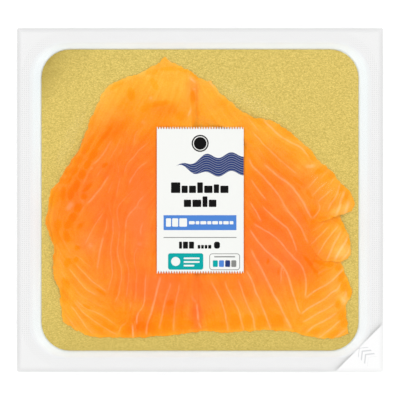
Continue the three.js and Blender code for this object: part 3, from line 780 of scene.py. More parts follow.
# Small bulges and notches of the torn edges: place, reach, and shift in x and y
NUDGES = [
    (-17.5, 84.1, 2.4, -0.5, -0.6), (-23.5, 85.3, 2.0, -0.7, 0.4), (-48.1, 73.3, 4, 0, 0.9),
    (-12, 81.1, 4, 0, 0.5), (-4.2, 76.3, 3, -0.6, -0.5), (0.3, 73.9, 2.5, 0, 0.8),
    (39.1, 49.9, 4, 0, -1.1), (33.6, 49.3, 2, 0, -0.8), (45, 47.5, 5, -0.3, -0.8),
    (-70.4, 36, 6, -1, 0), (-92.6, -13.3, 6, -0.8, 0), (-88.5, -39, 9, -0.7, 0),
    (-87.2, 9.6, 3, 0.6, -0.2), (89.3, -55.6, 5, 1.5, 0), (87.5, -63, 2.5, -0.5, 0),
    (45, -78.2, 8, 0, -1), (66, -82, 8, 0, -0.4), (-18, -81, 6, 0, -0.6),
    (-66, -81.5, 6, 0, -0.6), (90, -79, 4, -0.6, -0.3), (66.7, 29, 4, 0.5, 0.3),
]


# Soft noise of the torn edges, the redness and the paleness: amount, size in millimetres
# and seed. The edges' y takes the next seed.
EDGE_NOISE = ((0.45, 6.0, 30), (0.6, 2.4, 40), (0.4, 1.3, 50))
RED_NOISE = ((0.04, 9.0, 5), (0.04, 3.5, 6))
PALE_NOISE = ((0.012, 7.0, 7), (0.015, 2.2, 8))

# Streaks of muscle fibres: width and length in millimetres, seed, and how much less red
# and how much paler they are
FIBRES = ((0.75, 7.0, 9, 0.016, 0.009), (1.7, 9.0, 10, 0.016, 0.007))

# How much less red the flesh is at its cut edge, and how strong the dark cells and painted shadows
# can be together
EDGE_YELLOW = 0.14
DARKEST_CELLS_AND_SHADOWS = 1.1

# Knots along each side of a lattice of noise
NOISE_KNOTS = 512
# Spacing of the knots that hold the lines' direction, and their number on each side of 0
KNOT_GAP = 3.0
KNOTS = 40
# A place this many millimetres or half widths from a line isn't reached by it
FAR_OFF = 9.0
# A line's glow reaches this far past its half width, times one share on the side where its
# sheet slopes away under the flesh and times another on the other side
GLOW_REACH = 0.4
GLOW_UNDER = 1.7
GLOW_BESIDE = 0.8
# Where a glow and a line begin to fade before their ends and how long they take for it, and
# where a line's strength fades past its half width, all in millimetres
GLOW_END = (1.5, 4.0)
LINE_END = (0.7, 3.6)
LINE_EDGE = (0.9, 0.5)

# A slice's margin thins over this width to this share of its height at a cut edge
CUT_MARGIN = 3.5
CUT_SHARE = 0.35
# Where a margin is feathered it sinks over this width, and this deep into what it lies on
FEATHER_MARGIN = 5.0
FEATHER_SINK = 0.08
# An edge is feathered where it lies this near to a feathered course
FEATHER_REACH = 2.0
# Higher than anything on the pack
ABOVE_ALL = 50 * MM


def on_pack(x, y):
    """A place in the picture as millimetres to the right of and past the pack's middle."""
    return (x - PACK_MIDDLE[0]) * PIXEL, (PACK_MIDDLE[1] - y) * PIXEL


def patches_on_pack(rows):
    """Soft patches with their places turned from pixels to millimetres."""
    return [(*on_pack(x, y), *rest) for x, y, *rest in rows]


def lines_on_pack(parts):
    """The lines of some parts with their courses turned from pixels to millimetres."""
    rows = []
    for lines, shown in parts:
        for amount, half_width, *course in lines:
            points = [on_pack(*point) for point in course]
            rows.append((amount * shown, half_width, *points))
    return rows


def between_knots(lattice, spot, eased=False):
    """A square lattice's values at each spot, mixed from those of the four knots round it."""
    corner = np.clip(np.floor(spot).astype(int), 0, len(lattice) - 2)
    share = smooth(spot - corner) if eased else spot - corner
    u, v = share.T[:, :, None]
    i, j = corner.T
    near = lattice[i, j] * (1 - u) + lattice[i + 1, j] * u
    far = lattice[i, j + 1] * (1 - u) + lattice[i + 1, j + 1] * u
    return near * (1 - v) + far * v


def grain_noise(places, size, seed):
    """Soft noise from -1 to 1 with features of about this size, in millimetres."""
    lattice = np.random.default_rng(seed).uniform(-1, 1, (NOISE_KNOTS, NOISE_KNOTS, 1))
    return between_knots(lattice, places / size + NOISE_KNOTS / 2, eased=True)[:, 0]


def patches(places, rows, edge=1):
    """Each soft patch's share at each place: one column a row, harder-edged as edge rises."""
    shares = np.empty((len(places), len(rows)))
    for column, (x, y, along, across, turn, *_) in enumerate(rows):
        angle = math.radians(turn)
        offset = places - (x, y)
        u = (offset[:, 0] * math.cos(angle) + offset[:, 1] * math.sin(angle)) / along
        v = (offset[:, 1] * math.cos(angle) - offset[:, 0] * math.sin(angle)) / across
        shares[:, column] = np.exp(-((u * u + v * v) ** edge))
    return shares


def rounded_course(corners):
    """A line's course with its corners cut back twice, and its ends kept."""
    points = np.array(corners, float)
    for _ in range(2):
        before, after = points[:-1], points[1:]
        cut = np.stack([0.75 * before + 0.25 * after, 0.25 * before + 0.75 * after], axis=1)
        points = np.vstack([points[:1], cut.reshape(-1, 2)[1:-1], points[-1:]])
    return points


def course_lattice(rows):
    """The lines' direction round each knot of a lattice.

    It is held as the cosine and sine of twice its angle, so that it has no sign.
    """
    steps = KNOT_GAP * np.arange(-KNOTS, KNOTS + 1)
    knots = np.stack(np.meshgrid(steps, steps, indexing="ij"), axis=-1)
    total = np.zeros(knots.shape)
    for row in rows:
        points = rounded_course(row[2:])
        for start, end in zip(points, points[1:]):
            x, y = end - start
            away = ((knots - (start + end) / 2) ** 2).sum(axis=-1)
            double = np.array([x * x - y * y, 2 * x * y]) / math.hypot(x, y)
            total += double / (away + KNOT_GAP**2)[..., None] ** 2
    return total / np.linalg.norm(total, axis=-1)[..., None]


def heading_at(places, lattice):
    """The direction of the lines at each place, as a unit vector."""
    x, y = between_knots(lattice, places / KNOT_GAP + KNOTS).T
    angle = np.arctan2(y, x) / 2
    return np.column_stack([np.cos(angle), np.sin(angle)])


def streaks(places, lattice, size, length, seed):
    """Noise of this width drawn out along the lines, with a spread of 1, in millimetres."""
    steps = 8
    total = grain_noise(places, size, seed)
    for sense in (-1.0, 1.0):
        spot = places
        ahead = heading_at(spot, lattice) * sense
        for _ in range(steps):
            spot = spot + ahead * length / steps
            total = total + grain_noise(spot, size, seed)
            turned = heading_at(spot, lattice)
            ahead = turned * np.where((turned * ahead).sum(axis=1) < 0, -1.0, 1.0)[:, None]
    return np.clip(total / total.std(), -2.5, 2.5)


def nearest_line(places, rows):
    """The distance to the nearest line, in half widths, its sign the side of the line.

    With it come that line's strength, the plain distance in millimetres and the glow of
    the sheets of fat, which slope away under the flesh towards the middle seam.
    """
    glow = np.zeros(len(places))
    offset = np.full(len(places), FAR_OFF)
    strength = np.zeros(len(places))
    distance = np.full(len(places), FAR_OFF)
    for amount, half_width, *corners in rows:
        points = rounded_course(corners)
        steps = np.hypot(*np.diff(points, axis=0).T)
        marks = np.append(0.0, np.cumsum(steps))
        margin = half_width + 4.0
        low, high = points.min(axis=0) - margin, points.max(axis=0) + margin
        near = np.nonzero(((places > low) & (places < high)).all(axis=1))[0]
        for start, end, step, mark in zip(points, points[1:], steps, marks):
            along = (end - start) / step
            reach = places[near] - start
            run = reach @ along
            across = reach - np.clip(run, 0.0, step)[:, None] * along
            away = np.hypot(*across.T)
            under = across[:, 0] * places[near, 0] < 0
            slope = np.where(under, GLOW_UNDER, GLOW_BESIDE) * (half_width + GLOW_REACH)
            ends = np.minimum(mark + run, marks[-1] - mark - run)
            shine = amount * np.exp(-((away / slope) ** 2))
            shine *= smooth((ends + GLOW_END[0]) / GLOW_END[1])
            glow[near] = np.maximum(glow[near], shine)
            side = np.where(along[0] * reach[:, 1] > along[1] * reach[:, 0], 1.0, -1.0)
            closer = away / half_width < np.abs(offset[near])
            chosen = near[closer]
            offset[chosen] = (side * away / half_width)[closer]
            distance[chosen] = away[closer]
            # A line thins out at its ends, and its strength fades where another takes over
            fade = smooth((half_width + LINE_EDGE[0] - away[closer]) / LINE_EDGE[1])
            strength[chosen] = amount * fade * smooth((ends[closer] + LINE_END[0]) / LINE_END[1])
    return offset, strength, distance, glow


def store(mesh, name, values):
    """Keeps one number per vertex in the mesh, for its material."""
    attribute = mesh.attributes.new(name, "FLOAT", "POINT")
    attribute.data.foreach_set("value", values.astype(np.float32))


def stray(places, reach):
    """How far a torn edge strays from its solid's at each place, x and y, in millimetres."""
    shift = np.zeros((len(places), 2))
    for axis in range(2):
        for amount, size, seed in EDGE_NOISE:
            shift[:, axis] += amount * grain_noise(places, size, seed + axis)
        shift[:, axis] *= reach
    for x, y, size, right, up in NUDGES:
        share = np.exp(-((places - (x, y)) ** 2).sum(axis=1) / size**2)
        shift += share[:, None] * (right, up)
    return shift


def distance_to(places, segments):
    """The distance from each place to the nearest of some straight segments."""
    nearest = np.full(len(places), 1e9)
    for start, end in segments:
        along = end - start
        share = (places - start) @ along / max(along @ along, 1e-12)
        foot = start + np.clip(share, 0, 1)[:, None] * along
        nearest = np.minimum(nearest, np.hypot(*(places - foot).T))
    return nearest


def outline_of(mesh):
    """The segments, in millimetres, between a thin slice's top face and its rim."""
    segments = []
    shape = bmesh.new()
    shape.from_mesh(mesh)
    for edge in shape.edges:
        rises = sorted(face.normal.z for face in edge.link_faces)
        if len(rises) == 2 and rises[0] < 0.5 < rises[1]:
            segments.append([np.array(vertex.co[:2]) / MM for vertex in edge.verts])
    shape.free()
    return segments


def sharpen_rim(mesh, amount):
    """Creases a slice's rim, so that subdivision keeps its outline."""
    crease = mesh.attributes.new("crease_edge", "FLOAT", "EDGE")
    shape = bmesh.new()
    shape.from_mesh(mesh)
    amounts = []
    for edge in shape.edges:
        rises = [face.normal.z for face in edge.link_faces]
        amounts.append(amount if any(abs(rise) < 0.5 for rise in rises) else 0.0)
    shape.free()
    crease.data.foreach_set("value", amounts)


class Pile:
    """What lies on the pack so far, for the height of its top at any place."""

    def __init__(self):
        self.solids = []
        self.add(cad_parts["gold_card"].data)

    def add(self, mesh):
        corners = [vertex.co for vertex in mesh.vertices]
        faces = [tuple(face.vertices) for face in mesh.polygons]
        self.solids.append(BVHTree.FromPolygons(corners, faces))

    def top(self, x, y):
        above, down = Vector((x, y, ABOVE_ALL)), Vector((0, 0, -1))
        hits = [solid.ray_cast(above, down)[0] for solid in self.solids]
        return max((hit.z for hit in hits if hit), default=0.0)


def press_margin(points, outline, feathered, pile):
    """Presses a slice's margin on to its bed: thin at a cut edge, flush where feathered.

    Returns how far each point is from the cut edge.
    """
    flat = points[:, :2] / MM
    course = [np.array(pair) for pair in zip(feathered, feathered[1:])]
    middles = np.array([(start + end) / 2 for start, end in outline])
    flush = distance_to(middles, course) < FEATHER_REACH
    cut = distance_to(flat, [pair for pair, is_flush in zip(outline, flush) if not is_flush])
    hidden = distance_to(flat, [pair for pair, is_flush in zip(outline, flush) if is_flush])
    for index in np.nonzero((cut < CUT_MARGIN) | (hidden < FEATHER_MARGIN))[0]:
        x, y, z = points[index]
        bed = pile.top(x, y)
        full = smooth(hidden[index] / FEATHER_MARGIN)
        rest = CUT_SHARE + (1 - CUT_SHARE) * smooth(cut[index] / CUT_MARGIN)
        points[index, 2] = bed + (z - bed) * rest * full - FEATHER_SINK * MM * (1 - full)
    return cut


def shape_slice(mesh, settings):
    """Strays a slice's edges and domes its muscle blocks. Returns its points, in metres."""
    points = places_of(mesh)
    normals = np.empty(len(mesh.vertices) * 3, np.float32)
    mesh.vertices.foreach_get("normal", normals)
    upward = smooth(normals.reshape(-1, 3)[:, 2])
    points[:, :2] += stray(points[:, :2] / MM, settings.ragged / MM) * MM
    lines = lines_on_pack((*LINE_PARTS, (FLECKS, 1.0)))
    offset, strength, distance, glow = nearest_line(wavering(points), lines)
    store(mesh, "offset", np.clip(offset, -3, 3))
    store(mesh, "strength", strength * unevenly(points))
    store(mesh, "glow", glow * unevenly(points))
    points[:, 2] += settings.doming * smooth(distance / 2.0) * upward
    return points


def wavering(points):
    """The points' places in millimetres, shifted a little so that lines laid there waver."""
    flat = points[:, :2] / MM
    return flat + 0.25 * np.column_stack([grain_noise(flat, 4.0, 1), grain_noise(flat, 4.0, 2)])


def unevenly(points):
    """A share about 1 that lets a line show more in one place than in another."""
    flat = points[:, :2] / MM
    return 1.0 + 0.25 * grain_noise(flat, 5.0, 3) + 0.2 * grain_noise(flat, 1.6, 4)


def colour_slice(mesh, points, cut, course, settings):
    """Stores how red and how pale the flesh is at each point, for its material."""
    flat = points[:, :2] / MM
    tints = patches(flat, patches_on_pack(TINTS), edge=1.5)
    redness = PLAIN[0] + tints @ [row[5] for row in TINTS]
    paleness = PLAIN[1] + tints @ [row[6] for row in TINTS]
    for amount, size, seed in RED_NOISE:
        redness += amount * grain_noise(flat, size, seed)
    for amount, size, seed in PALE_NOISE:
        paleness += amount * grain_noise(flat, size, seed)
    for width, length, seed, less_red, paler in FIBRES:
        fibres = streaks(flat, course, width, length, seed)
        redness -= less_red * fibres
        paleness += paler * fibres
    redness -= EDGE_YELLOW * np.exp(-cut * MM / settings.thin_edge)
    # Dark cells, and painted shade and shadow in hollows and under slice edges, make the flesh
    # redder and less milky
    shares = patches(wavering(points), patches_on_pack(CELLS_AND_SHADOWS), edge=2)
    cells = np.clip(shares @ [row[5] for row in CELLS_AND_SHADOWS], 0, DARKEST_CELLS_AND_SHADOWS)
    redness += settings.cell_and_shadow_redness * cells
    paleness -= settings.cell_and_shadow_depth * cells
    store(mesh, "redness", redness)
    store(mesh, "paleness", paleness)


# How much redder or paler a speck of muscle fibre is at most, and how wide it is drawn
RED_SPECK = 0.09
PALE_SPECK = 0.03
SPECK_WIDTH = 0.8 * MM


def smoked_salmon(settings):
    """Cold-smoked, oiled and thinly sliced: moist, translucent, redder where it lies thick."""
    material, add = new_material("Cold-smoked salmon")
    place = add("ShaderNodeTexCoord").outputs["Object"]
    offset, strength, glow, redness, paleness = (
        add("ShaderNodeAttribute", attribute_name=stored).outputs["Fac"]
        for stored in ("offset", "strength", "glow", "redness", "paleness")
    )

    # Muscle fibres about 0.2 mm across, drawn at four times that so that they show
    fibre = add("ShaderNodeTexNoise", {"Vector": place, "Scale": 1 / SPECK_WIDTH, "Detail": 3.0})
    speck = add("ShaderNodeSeparateColor", {0: fibre.outputs["Color"]})
    first = {0: speck.outputs[0], 1: 0.25, 2: 0.75, 3: -RED_SPECK, 4: RED_SPECK}
    redder = add("ShaderNodeMapRange", first)
    second = {0: speck.outputs[1], 1: 0.25, 2: 0.75, 3: -PALE_SPECK, 4: PALE_SPECK}
    paler = add("ShaderNodeMapRange", second)
    red = add("ShaderNodeMath", {0: redness, 1: redder.outputs[0]}, operation="ADD", use_clamp=True)
    pale = add("ShaderNodeMath", {0: paleness, 1: paler.outputs[0]}, operation="ADD")

    # A pale line where the nearest one is less than half its width away
    away = add("ShaderNodeMath", {0: offset}, operation="ABSOLUTE")
    line = add(
        "ShaderNodeMapRange",
        {0: away.outputs[0], 1: 0.15, 2: 1.0, 3: settings.line_share, 4: 0.0},
        interpolation_type="SMOOTHSTEP",
    )
    fat = add("ShaderNodeMath", {0: line.outputs[0], 1: strength}, operation="MULTIPLY")
    milky = {0: glow, 1: settings.glow_share, 2: pale.outputs[0]}
    halo = add("ShaderNodeMath", milky, operation="MULTIPLY_ADD")
    both = {0: fat.outputs[0], 1: halo.outputs[0]}
    share = add("ShaderNodeMath", both, operation="ADD", use_clamp=True)

    flesh = add("ShaderNodeValToRGB", {0: red.outputs[0]})
    ramp = flesh.color_ramp
    ramp.elements[0].color = opaque(settings.amber)
    ramp.elements[1].color = opaque(settings.coral)
    for position, colour in ((0.25, settings.gold), (0.55, settings.orange), (0.8, settings.deep)):
        ramp.elements.new(position).color = opaque(colour)
    milk = add(
        "ShaderNodeMix",
        {0: red.outputs[0], 6: opaque(settings.thin_fat), 7: opaque(settings.fat)},
        data_type="RGBA",
    )
    tint = add(
        "ShaderNodeMix",
        {0: share.outputs[0], 6: flesh.outputs[0], 7: milk.outputs[2]},
        data_type="RGBA",
    )
    uneven = {0: speck.outputs[2], 1: 0.5, 2: share.outputs[0]}
    relief = add("ShaderNodeMath", uneven, operation="MULTIPLY_ADD")
    raised = {"Strength": 0.25, "Distance": 0.2 * MM, "Height": relief.outputs[0]}
    bump = add("ShaderNodeBump", raised)
    surface = add(
        "ShaderNodeBsdfPrincipled",
        {
            "Base Color": tint.outputs[2],
            "Roughness": 0.34,
            "IOR": 1.38,
            "Specular IOR Level": 0.12,
            "Normal": bump.outputs[0],
        },
    )
    add("ShaderNodeOutputMaterial", {0: surface.outputs[0]})
    return material


class MakeSalmon(bpy.types.Operator):
    """Models the five slices with their muscle blocks, fat lines and torn edges"""

    bl_idname = "salmon_pack.make_salmon"
    bl_label = "Salmon slices"

    def execute(self, context):
        settings = context.scene.salmon_flesh
        material = smoked_salmon(settings)
        course = course_lattice(lines_on_pack(LINE_PARTS))
        pile = Pile()
        for name in LAID:
            piece = copy_of_node(name, name + "_flesh")
            outline = outline_of(piece.data)
            sharpen_rim(piece.data, 0.6)
            soft = piece.modifiers.new("Soft", "SUBSURF")
            soft.levels = soft.render_levels = 2 if name == "slice_under" else 3
            apply_all(piece)
            points = shape_slice(piece.data, settings)
            cut = press_margin(points, outline, FEATHERED.get(name, []), pile)
            colour_slice(piece.data, points, cut, course, settings)
            move_points(piece.data, points)
            pile.add(piece.data)
            finish_piece(piece, material, "salmon", name)
        return {"FINISHED"}


# The lid film

# A top higher than this is fish, and not the card
FISH_HEIGHT = 2.0 * MM
# Shares that a face of the film mirrors straight on, and at the slant of its full sheen
STRAIGHT_ON = 0.028
AT_A_SLANT = 0.6


def lidding_film(settings):
    """Clear laminated film under vacuum: all but unseen straight on, glossy at a slant."""
    material, add = new_material("Clear lidding film", see_through=True)
    place = add("ShaderNodeTexCoord").outputs["Object"]
    waves = add(
        "ShaderNodeTexNoise",
        {"Vector": place, "Scale": 1 / settings.wrinkle, "Detail": 2.0, "Distortion": 0.6},
    )
    wrinkled = {"Strength": 0.35, "Distance": 0.0006, "Height": waves.outputs["Fac"]}
    bump = add("ShaderNodeBump", wrinkled).outputs[0]
    slant = add("ShaderNodeFresnel", {"IOR": 1.4})
    mirrored = {0: slant.outputs[0], 1: STRAIGHT_ON, 2: AT_A_SLANT}
    share = add("ShaderNodeMapRange", {**mirrored, 3: settings.gloss, 4: settings.sheen})
    # A pass through both faces leaves about 88 per cent of the light
    clear = add("ShaderNodeBsdfTransparent", {"Color": opaque(settings.clear)})
    white = (1, 1, 1, 1)
    gloss = add("ShaderNodeBsdfGlossy", {"Color": white, "Roughness": 0.14, "Normal": bump})
    layers = {0: share.outputs[0], 1: clear.outputs[0], 2: gloss.outputs[0]}
    mixed = add("ShaderNodeMixShader", layers)
    add("ShaderNodeOutputMaterial", {0: mixed.outputs[0]})
    return material


class MakeFilm(bpy.types.Operator):
    """Models the lid film, drawn softly down over the card and the fish"""

    bl_idname = "salmon_pack.make_film"
    bl_label = "Lid film"

    def execute(self, context):
        settings = context.scene.salmon_film
        film = copy_of_node("lid_film", "lid_film_skin")
        split = film.modifiers.new("Split", "SUBSURF")
        split.subdivision_type = "SIMPLE"
        split.levels = split.render_levels = 2
        apply_all(film)

        # Over the fish the film is drawn down into the hollows between the slices
        pile = Pile()
        for name in LAID:
            pile.add(bpy.data.objects[name + "_flesh"].data)
        points = places_of(film.data)
        for point in points:
            top = pile.top(point[0], point[1])
            if top > FISH_HEIGHT:
                spare = point[2] - top - settings.gap
                point[2] -= min(max(spare, 0.0), settings.pull)
        move_points(film.data, points)
        settle(film, rounds=10)
        apply_all(film)
        finish_piece(film, lidding_film(settings), "film", "lid_film")
        return {"FINISHED"}


# The paper label

PAPER_THICKNESS = 0.12 * MM
# Spacing of the sheet's rows of points, and their number along each tooth of its ends
ROW_GAP = 1.5 * MM
TOOTH_POINTS = 4
# How much narrower the sheet is than its solid's box
SLACK = 0.1 * MM

# Plain printed fields in the order they are laid: ink, middle x and y, width, height and
# corner radius in millimetres
FIELDS = [
    ("black", 0.1, 34.0, 10.2, 10.2, 5.1),
    ("paper", 0.1, 34.0, 8.6, 8.6, 4.3),
    ("black", 0.1, 34.0, 7.6, 7.6, 3.8),
    ("blue", 0.0, -13.6, 43.8, 9.0, 0.2),
    ("grey", 0.0, -22.5, 43.8, 0.5, 0.1),
    ("teal", -8.6, -36.9, 21.2, 9.9, 1.4),
    ("paper", -14.6, -36.9, 5.4, 5.4, 2.7),
    ("paper", -5.0, -35.0, 9.6, 1.0, 0.5),
    ("paper", -5.0, -37.2, 9.6, 1.0, 0.5),
    ("paper", -6.6, -39.4, 6.4, 1.0, 0.5),
    ("grey", 14.8, -37.1, 18.4, 10.0, 1.8),
    ("paper", 14.8, -37.1, 17.6, 9.2, 1.4),
    ("grey", 14.8, -34.1, 12.6, 0.7, 0.3),
    ("teal", 9.2, -38.2, 3.0, 4.0, 0.6),
    ("blue", 12.9, -38.2, 3.0, 4.0, 0.6),
    ("navy", 16.6, -38.2, 3.0, 4.0, 0.6),
    ("grey", 20.3, -38.2, 3.0, 4.0, 0.6),
]

# Rows of plain blocks that stand where words would: ink, left end, foot, gap between
# blocks, corner radius, block widths and block heights
BLOCK_ROWS = [
    ("black", -17.4, 4.2, 0.75, 0.5,
     (5.6, 3.7, 4.2, 3.4, 5.0, 3.2, 4.9), (6.4, 4.4, 4.4, 6.4, 4.4, 5.2, 4.4)),
    ("black", -9.7, -4.2, 0.75, 0.5, (4.4, 5.3, 3.0, 4.6), (4.4, 4.4, 6.4, 4.4)),
    ("paper", -20.4, -16.0, 0.7, 0.6, (3.0, 3.6, 4.6), (5.0, 5.0, 5.0)),
    ("paper", -6.6, -14.6, 0.6, 0.4, (3.4, 2.2, 3.6, 2.4, 3.4, 2.0, 3.2, 2.2), (1.9,) * 8),
    ("black", -12.6, -29.2, 0.6, 0.4, (1.8, 3.0, 3.0), (4.2, 4.2, 4.2)),
    ("black", -1.4, -29.2, 0.5, 0.3, (1.6, 1.6, 1.6, 1.9), (2.2,) * 4),
    ("black", 8.4, -29.2, 0.5, 1.4, (3.6,), (4.2,)),
]


def printed_fields():
    """Every plain field of the label's print, block rows included."""
    fields = list(FIELDS)
    for ink, left, foot, gap, corner, widths, heights in BLOCK_ROWS:
        for width, height in zip(widths, heights):
            fields.append((ink, left + width / 2, foot + height / 2, width, height, corner))
            left += width + gap
    return fields


def printed_paper(settings):
    """Matt coated paper, offset printed in plain fields and a band of waves."""
    material, add = new_material("Printed label paper")
    place = add("ShaderNodeTexCoord").outputs["Object"]
    flat = add("ShaderNodeVectorMath", {0: place, 1: (1, 1, 0)}, operation="MULTIPLY").outputs[0]
    # The paper's tooth, drawn about 1 mm across so that it shows
    grain = add("ShaderNodeTexNoise", {"Vector": place, "Scale": 900.0, "Detail": 2.0})

    # A band of waves about 15 mm long runs off the right edge, with fine lighter lines
    part = add("ShaderNodeSeparateXYZ", {0: place})
    x, y = part.outputs[0], part.outputs[1]
    turned = add("ShaderNodeMath", {0: x, 1: 0.42 / MM}, operation="MULTIPLY")
    wave = add("ShaderNodeMath", {0: turned.outputs[0]}, operation="SINE")
    swell = add("ShaderNodeMath", {0: wave.outputs[0], 1: 1.5 * MM}, operation="MULTIPLY")
    rise = {0: x, 1: 0.05, 2: swell.outputs[0]}
    middle = add("ShaderNodeMath", rise, operation="MULTIPLY_ADD")
    level = add("ShaderNodeMath", {0: y, 1: middle.outputs[0]}, operation="SUBTRACT")
    above = add("ShaderNodeMath", {0: level.outputs[0], 1: 20.6 * MM}, operation="SUBTRACT")
    away = add("ShaderNodeMath", {0: above.outputs[0]}, operation="ABSOLUTE")
    taper = add(
        "ShaderNodeMapRange",
        {0: x, 1: -15 * MM, 2: 6 * MM, 3: 0.0, 4: 5.6 * MM},
        interpolation_type="SMOOTHSTEP",
    )
    edges = {0: away.outputs[0], 1: taper.outputs[0]}
    band = add("ShaderNodeMath", edges, operation="LESS_THAN")
    steps = add("ShaderNodeMath", {0: level.outputs[0], 1: 0.7 * MM}, operation="PINGPONG")
    fine = add("ShaderNodeMath", {0: steps.outputs[0], 1: 0.16 * MM}, operation="LESS_THAN")
    blend_inputs = {0: fine.outputs[0], 1: -0.3, 2: band.outputs[0]}
    solid = add("ShaderNodeMath", blend_inputs, operation="MULTIPLY_ADD", use_clamp=True)
    inked = add("ShaderNodeMath", {0: solid.outputs[0], 1: band.outputs[0]}, operation="MULTIPLY")
    waves = {0: inked.outputs[0], 6: opaque(settings.paper), 7: opaque(settings.navy)}
    colour = add("ShaderNodeMix", waves, data_type="RGBA").outputs[2]

    for ink, middle_x, middle_y, width, height, corner in printed_fields():
        spot = (middle_x * MM, middle_y * MM, 0)
        offset = add("ShaderNodeVectorMath", {0: flat, 1: spot}, operation="SUBTRACT")
        inside = rounded_mask(add, offset.outputs[0], width / 2, height / 2, corner)
        laid = {0: inside, 6: colour, 7: opaque(getattr(settings, ink))}
        colour = add("ShaderNodeMix", laid, data_type="RGBA").outputs[2]

    rough = {"Strength": 0.1, "Distance": 0.00005, "Height": grain.outputs["Fac"]}
    bump = add("ShaderNodeBump", rough)
    surface = add(
        "ShaderNodeBsdfPrincipled",
        {
            "Base Color": colour,
            "Roughness": 0.55,
            "Specular IOR Level": 0.1,
            "Normal": bump.outputs[0],
        },
    )
    add("ShaderNodeOutputMaterial", {0: surface.outputs[0]})
    return material


class MakeLabel(bpy.types.Operator):
    """Models the paper label with its pinked ends, draped over the film"""

    bl_idname = "salmon_pack.make_label"
    bl_label = "Paper label"

    def execute(self, context):
        settings = context.scene.salmon_label
        low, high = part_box("paper_label")
        width, depth = high.x - low.x, high.y - low.y
        teeth = round(width / settings.tooth)
        columns = TOOTH_POINTS * teeth
        middle = (low + high) / 2
        bpy.ops.object.select_all(action="DESELECT")
        bpy.ops.mesh.primitive_grid_add(
            x_subdivisions=columns,
            y_subdivisions=round(depth / ROW_GAP),
            size=1,
            location=(middle.x, middle.y, high.z + MM),
        )
        label = bpy.context.object
        label.name = "paper_label_sheet"
        label.scale = (width - SLACK, depth - SLACK, 1)
        place_in_mesh(label)

        # Half of the points along each end are cut back, which leaves a row of teeth
        points = places_of(label.data)
        column = np.round((points[:, 0] - low.x) / width * columns).astype(int)
        far = np.abs(points[:, 1] - points[:, 1].max()) < 1e-6
        near = np.abs(points[:, 1] - points[:, 1].min()) < 1e-6
        notch = column % TOOTH_POINTS >= TOOTH_POINTS / 2
        points[far & notch, 1] -= settings.bite
        points[near & notch, 1] += settings.bite
        move_points(label.data, points)

        drape = label.modifiers.new("Drape", "SHRINKWRAP")
        drape.target = bpy.data.objects["lid_film_skin"]
        drape.wrap_method = "PROJECT"
        drape.use_project_z = True
        drape.use_negative_direction = True
        drape.use_positive_direction = False
        settle(label, rounds=8)
        sheet = label.modifiers.new("Sheet", "SOLIDIFY")
        sheet.thickness = PAPER_THICKNESS
        sheet.offset = 1
        apply_all(label)
        finish_piece(label, printed_paper(settings), "label", "paper_label")
        bpy.ops.object.shade_smooth_by_angle(angle=math.radians(40))
        return {"FINISHED"}


# The peel tab


def unsealed_film(settings):
    """White film left unsealed at one corner, printed with three faint chevrons."""
    material, add = new_material("Unsealed white film")
    place = add("ShaderNodeTexCoord").outputs["Object"]

    # Darker towards the cut edges
    cut = cut_edge_share(add, place, 2.6)
    edged = {0: cut, 6: opaque(settings.white), 7: opaque(settings.edge)}
    film = add("ShaderNodeMix", edged, data_type="RGBA")

    # The chevrons point from the corner to the fold
    middle = (CAD_BOX[1].x - 10.5 * MM, CAD_BOX[0].y + 10.5 * MM, 0)
    offset = add("ShaderNodeVectorMath", {0: place, 1: middle}, operation="SUBTRACT").outputs[0]
    to_tip, to_side = {0: offset, 1: (0.707, -0.707, 0)}, {0: offset, 1: (0.707, 0.707, 0)}
    outward = add("ShaderNodeVectorMath", to_tip, operation="DOT_PRODUCT")
    along = add("ShaderNodeVectorMath", to_side, operation="DOT_PRODUCT")
    wing = add("ShaderNodeMath", {0: along.outputs["Value"]}, operation="ABSOLUTE").outputs[0]
    swept = {0: wing, 1: -0.8, 2: outward.outputs["Value"]}
    ahead = add("ShaderNodeMath", swept, operation="MULTIPLY_ADD").outputs[0]
    steps = add("ShaderNodeMath", {0: ahead, 1: 1.4 * MM}, operation="PINGPONG")
    stroke = add("ShaderNodeMath", {0: steps.outputs[0], 1: 0.5 * MM}, operation="LESS_THAN")
    short = add("ShaderNodeMath", {0: wing, 1: 4.2 * MM}, operation="LESS_THAN")
    few = add("ShaderNodeMath", {0: ahead, 1: -1.6 * MM, 2: 4.0 * MM}, operation="COMPARE")
    mask = add("ShaderNodeMath", {0: stroke.outputs[0], 1: short.outputs[0]}, operation="MULTIPLY")
    mask = add("ShaderNodeMath", {0: mask.outputs[0], 1: few.outputs[0]}, operation="MULTIPLY")
    inked = {0: mask.outputs[0], 6: film.outputs[2], 7: opaque(settings.print)}
    tint = add("ShaderNodeMix", inked, data_type="RGBA")
    surface = add("ShaderNodeBsdfPrincipled", {"Base Color": tint.outputs[2], "Roughness": 0.4})
    add("ShaderNodeOutputMaterial", {0: surface.outputs[0]})
    return material


class MakeTab(bpy.types.Operator):
    """Models the peel tab with its rounded corner, white film and faint chevrons"""

    bl_idname = "salmon_pack.make_tab"
    bl_label = "Peel tab"

    def execute(self, context):
        settings = context.scene.salmon_tab
        tab = copy_of_node("peel_tab", "peel_tab_film")
        tip = Vector((CAD_BOX[1].x, CAD_BOX[0].y))
        bpy.ops.object.mode_set(mode="EDIT")
        shape = bmesh.from_edit_mesh(tab.data)
        for edge in shape.edges:
            edge.select = all((vertex.co.xy - tip).length < 0.1 * MM for vertex in edge.verts)
        bmesh.update_edit_mesh(tab.data)
        bpy.ops.mesh.bevel(offset=settings.corner, segments=5, affect="EDGES")
        bpy.ops.object.mode_set(mode="OBJECT")
        finish_piece(tab, unsealed_film(settings), "tab", "peel_tab")
        bpy.ops.object.shade_smooth_by_angle(angle=math.radians(40))
        return {"FINISHED"}


# Floor, light and camera

FLOOR_WIDTH = 6.0
